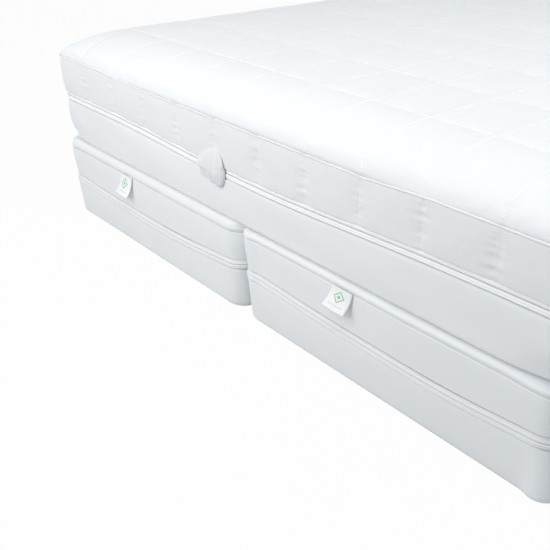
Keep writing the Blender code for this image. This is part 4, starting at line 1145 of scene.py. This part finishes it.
def hood_place(across, down, wall):
    """A point of the hood: across is -1 to 1, down is 0 at the sewn arch and 1 at the hem.

    It is drawn in under its waist, deepest at the left, where the slot for a finger opens.
    """
    rising = math.sin(math.pi / 2 * min((across + 1) / 1.5, 1)) ** 0.8
    falling = math.cos(math.pi / 2 * max(across - 0.5, 0) / 0.51) ** 0.6
    top = LIP_LEVEL + 0.0006 + HOOD_RISE * rising * falling
    drop = HOOD_DROP + 0.009 * math.exp(-((across - 0.5) / 0.45) ** 2) - 0.010 * max(across - 0.8, 0) / 0.2
    tall = top - LIP_LEVEL + drop
    waist = (tall - drop + HOOD_WAIST) / tall
    over, under = min(down / waist, 1), max(0, (down - waist) / (1 - waist))
    middle = HOOD_MIDDLE + across * HOOD_WIDTH / 2 * (1 - 0.10 * under)
    cell = float(pillow(abs(middle + STITCH_GAP_X / 2), STITCH_GAP_X, 0.0045))
    side = min((1 + across) / 0.11, (1 - across) / 0.5, 1) ** 0.6
    crumple = 0.0014 * noise.noise(Vector((across * 2.6, down * 3.1, 4.4))) * min(down * 6, 1)
    dome = (HOOD_FULLNESS + crumple) * math.sin(math.pi / 2 * min(over / 0.8, 1)) ** 0.75 * side
    past_lip = min(max((LIP_LEVEL + 0.003 - top + tall * down) / 0.008, 0), 1)
    front = 0.0128 + 0.0052 * cell * (1 - past_lip * (1 - side)) + dome
    fall = min(under / (0.10 + 0.25 * math.exp(-(across / 0.22) ** 2)), 1)
    slot = min(max(0.1 - across * 2.5, 0), 1)
    drawn = (front - 0.0132) * (0.4 * fall * fall * (3 - 2 * fall) + 0.6 * under) * slot
    pleats = math.cos(across * 40 + 1.5 * noise.noise(Vector((across * 4, down * 2, 1.5))))
    edge = max(0, (under - 0.74) / 0.26)
    pleat = (0.0014 * min(under / 0.3, 1) + 0.0010 * edge) * pleats * (1 - 0.7 * slot)
    hem = (0.0030 * under ** 1.5 + 0.0030 * edge ** 1.3) * (1 - slot)
    out = front - drawn - hem + pleat * side + wall
    return middle, -(MATTRESS_HALF[1] + out), top - tall * down + 0.0012 * pleats * under ** 2 * side


def gathered_hood():
    """The hood as a closed sheet with a thin wall."""
    across = np.linspace(-1, 1, 65)
    down = np.linspace(0, 1, 49)
    face, back = (np.array([[hood_place(a, d, wall) for a in across] for d in down[::-1]])
                  for wall in (HOOD_WALL, 0.0))
    uv = np.stack(np.meshgrid(across * 0.045, down * 0.085), axis=-1)
    piece = closed_pad("gathered_hood", face, back, uv, hood_knit_painted_shade)
    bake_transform(piece)
    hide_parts("zip_hood")


gathered_hood()


# The hood's elastic: a ribbed round cord, run through the hem that it gathers.
def hem_elastic():
    """The cord inside the hood's hem, ribbed where the gathers press on it."""
    count, radius = 60, 0.0011
    shares = [-0.8 + 1.6 * step / count for step in range(count + 1)]
    path = [Vector(hood_place(share, 0.94, -0.0020)) for share in shares]
    rings = []
    for number, centre in enumerate(path):
        along = (path[min(number + 1, count)] - path[max(number - 1, 0)]).normalized()
        aside = along.cross(Vector((0, 0, 1))).normalized()
        up = aside.cross(along)
        thick = radius * (1 + 0.08 * (number % 2))
        rings.append([centre + thick * (aside * math.cos(turn) + up * math.sin(turn))
                      for turn in np.linspace(0, 2 * math.pi, 11)[:-1]])
    uv = np.stack(np.meshgrid(np.arange(11) * 0.0008, np.arange(count + 2) * 0.0012), axis=-1)
    piece = grid_object("hem_elastic", np.array(rings), uv, woven_elastic, wrap_columns=True, caps=True)
    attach(piece, "hood")
    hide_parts("hood_elastic")


woven_elastic = tape_weave("woven_elastic", (0.86, 0.865, 0.87), (0.92, 0.92, 0.925))
hem_elastic()


# The zips' metal: a cast slider with its stamped pull on each zip, and the stop that it rests against.
# White enamel covers them, rubbed thin to grey in scattered patches; they keep the frame's own shapes.
def enamelled_metal():
    """Sprayed enamel on zinc: pale, with a fine orange peel and grey where it has rubbed thin."""
    material, tree, shader, where = new_material("enamelled_metal", 0.34, metallic=0.25, coat_weight=0.4,
                                                 coat_roughness=0.2)
    peel = texture(tree, "Noise", where.outputs["Object"], scale=1400, detail=2)
    worn = texture(tree, "Noise", where.outputs["Object"], scale=260, detail=4)
    rubbed = tree.nodes.new("ShaderNodeMapRange")
    rubbed.inputs["From Min"].default_value = 0.58
    rubbed.inputs["From Max"].default_value = 0.72
    tree.links.new(worn.outputs[0], rubbed.inputs["Value"])
    tree.links.new(mixed(tree, (0.86, 0.865, 0.875), (0.58, 0.585, 0.60), rubbed.outputs["Result"]),
                   shader.inputs["Base Color"])
    tree.links.new(bump(tree, peel.outputs[0], 0.00006), shader.inputs["Normal"])
    return material


slider_enamel = enamelled_metal()
for name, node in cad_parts.items():
    if name.endswith(("zip_slider", "zip_pull", "zip_end_stop")):
        node.data.materials.clear()
        node.data.materials.append(slider_enamel)


# The labels: white woven tags, folded under at the sides and sewn into the seam under each roll.
# Each stands away from the cover at its lower end, and bears a plain lozenge over a thin line.
LABEL_CURL = 0.013
LABEL_WALL = 0.0007
LABEL_FLARE = 0.12
LABEL_SLANT = 0.012
LABEL_GREEN = (0.28, 0.58, 0.42)
LABEL_GREY = (0.62, 0.66, 0.65)


def woven_label():
    """White satin weave with a woven motif: one lozenge inside another, and a line."""
    material, tree, shader, where = new_material("woven_label", 0.5, sheen_weight=0.3)
    uv = tree.nodes.new("ShaderNodeSeparateXYZ")
    tree.links.new(where.outputs["UV"], uv.inputs[0])

    def math_node(operation, first, second=None):
        node = tree.nodes.new("ShaderNodeMath")
        node.operation = operation
        for socket, value in zip(node.inputs, (first, second)):
            if isinstance(value, (int, float)):
                socket.default_value = value
            elif value is not None:
                tree.links.new(value, socket)
        return node.outputs[0]

    def band(value, middle, half_width):
        """1 within a half width of the middle, 0 outside."""
        away = math_node("ABSOLUTE", math_node("SUBTRACT", value, middle))
        return math_node("LESS_THAN", away, half_width)

    across = math_node("ABSOLUTE", math_node("SUBTRACT", uv.outputs[0], 0.5))
    up = math_node("ABSOLUTE", math_node("SUBTRACT", uv.outputs[1], 0.60))
    lozenge = math_node("ADD", across, math_node("MULTIPLY", up, 0.95))
    motif = math_node("MAXIMUM", band(lozenge, 0.225, 0.032), band(lozenge, 0.04, 0.05))
    line = math_node("MULTIPLY", band(uv.outputs[1], 0.22, 0.014), band(uv.outputs[0], 0.5, 0.33))
    weave = texture(tree, "Noise", scaled(tree, where.outputs["UV"], (60, 200, 1)), scale=1, detail=2)
    plain = mixed(tree, (0.90, 0.91, 0.90), (0.95, 0.955, 0.95), weave.outputs[0])
    green = tree.nodes.new("ShaderNodeMix")
    green.data_type = "RGBA"
    green.inputs[7].default_value = (*LABEL_GREEN, 1)
    tree.links.new(motif, green.inputs[0])
    tree.links.new(plain, green.inputs[6])
    grey = tree.nodes.new("ShaderNodeMix")
    grey.data_type = "RGBA"
    grey.inputs[7].default_value = (*LABEL_GREY, 1)
    tree.links.new(line, grey.inputs[0])
    tree.links.new(green.outputs[2], grey.inputs[6])
    tree.links.new(grey.outputs[2], shader.inputs["Base Color"])
    tree.links.new(bump(tree, weave.outputs[0], 0.0002), shader.inputs["Normal"])
    return material


label_weave = woven_label()


def label(side, twist, length):
    """One tag: flat at the seam, then curling out, with one lower corner further than the other."""
    low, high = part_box(f"{side}_label")
    middle, half = (low.x + high.x) / 2, (high.x - low.x) / 2 * 0.94
    top = high.z + 0.0015 + seam_shift(side)
    seat = -high.y
    across, down = np.meshgrid(np.linspace(-1, 1, 17), np.linspace(1, 0, 25))
    curl = (LABEL_CURL * down ** 2 * (1 + 0.25 * twist * across)
            - 0.0022 * np.sin(math.pi * down) * across ** 2)
    wave = 0.0008 * np.sin(across * 2.6 + 1) * down
    sheets = []
    for wall in (LABEL_WALL, 0.0):
        x = middle + half * across * (1 + LABEL_FLARE * down) - LABEL_SLANT * down
        y = -(seat + 0.0042 + curl + wave + wall)
        z = top - length * down * (1 - 0.02 * across * twist * down)
        sheets.append(np.stack([x, y, z], axis=-1))
    uv = np.stack([across / 2 + 0.5, 1 - down], axis=-1)
    piece = closed_pad(f"{side}_woven_label", *sheets, uv, label_weave)
    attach(piece, f"{side}_foundation")
    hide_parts(f"{side}_label")


label("left", 0.5, 0.052)
label("right", 0.3, 0.044)


# The studio: a white sweep, soft lamps over the foot, before it and over the top, and a cool fill.
CAMERA_PLACE = (1.1775, -1.8798, 0.8734)
CAMERA_TURN = (90 - 27.99, 0, 50.56)
CAMERA_LENS = 51.82


def seen_white(tree):
    """1 for what the camera, a gloss or a clear thing sees, 0 for light that falls on the object."""
    path = tree.nodes.new("ShaderNodeLightPath")
    most = path.outputs["Is Camera Ray"]
    for name in ("Is Glossy Ray", "Is Transmission Ray"):
        wider = tree.nodes.new("ShaderNodeMath")
        wider.operation = "MAXIMUM"
        tree.links.new(most, wider.inputs[0])
        tree.links.new(path.outputs[name], wider.inputs[1])
        most = wider.outputs[0]
    return most


def studio_white():
    """A floor that the camera sees as white, with the shadow left in it."""
    material = bpy.data.materials.new("studio_white")
    material.use_nodes = True
    tree = material.node_tree
    tree.nodes.clear()
    output = tree.nodes.new("ShaderNodeOutputMaterial")
    lit = tree.nodes.new("ShaderNodeBsdfDiffuse")
    lit.inputs["Color"].default_value = (0.60, 0.60, 0.60, 1)
    glow = tree.nodes.new("ShaderNodeEmission")
    share = tree.nodes.new("ShaderNodeMath")
    share.operation = "MULTIPLY"
    share.inputs[1].default_value = 0.97
    mix = tree.nodes.new("ShaderNodeMixShader")
    tree.links.new(seen_white(tree), share.inputs[0])
    tree.links.new(share.outputs[0], mix.inputs[0])
    tree.links.new(lit.outputs[0], mix.inputs[1])
    tree.links.new(glow.outputs[0], mix.inputs[2])
    tree.links.new(mix.outputs[0], output.inputs[0])
    return material


bpy.ops.mesh.primitive_plane_add(size=30, location=(0, 0, -0.0005))
floor = bpy.context.object
floor.name = "studio_floor"
floor.data.materials.append(studio_white())

world = bpy.data.worlds.new("studio_world")
bpy.context.scene.world = world
world.use_nodes = True
nodes, links = world.node_tree.nodes, world.node_tree.links
fill = nodes["Background"]
fill.inputs["Color"].default_value = (0.84, 0.93, 1.0, 1)
fill.inputs["Strength"].default_value = 0.42
white = nodes.new("ShaderNodeBackground")
white.inputs["Color"].default_value = (1, 1, 1, 1)
mix = nodes.new("ShaderNodeMixShader")
links.new(seen_white(world.node_tree), mix.inputs[0])
links.new(fill.outputs[0], mix.inputs[1])
links.new(white.outputs[0], mix.inputs[2])
links.new(mix.outputs[0], nodes["World Output"].inputs["Surface"])


def lamp(name, place, target, size, power, colour):
    """A soft square lamp that faces its target."""
    bpy.ops.object.light_add(type="AREA", location=place)
    light = bpy.context.object
    light.name = name
    light.data.size = size
    light.data.energy = power
    light.data.color = colour
    light.rotation_euler = (Vector(target) - Vector(place)).to_track_quat("-Z", "Y").to_euler()


lamp("foot_lamp", (0.35, -1.5, 2.8), (0.1, -0.6, 0.3), 1.6, 12, (1.0, 0.975, 0.94))
lamp("front_lamp", (-0.45, -2.6, 1.3), (0.0, -0.6, 0.3), 1.6, 25, (1.0, 0.975, 0.94))
lamp("top_lamp", (1.2, 0.0, 2.8), (0.1, -0.6, 0.3), 1.6, 34, (1.0, 0.975, 0.94))

bpy.ops.object.camera_add(location=CAMERA_PLACE, rotation=[math.radians(turn) for turn in CAMERA_TURN])
camera = bpy.context.object
camera.data.lens = CAMERA_LENS
camera.data.sensor_width = 36
camera.data.clip_end = 100
bpy.context.scene.camera = camera
bpy.context.scene.view_settings.view_transform = "Standard"
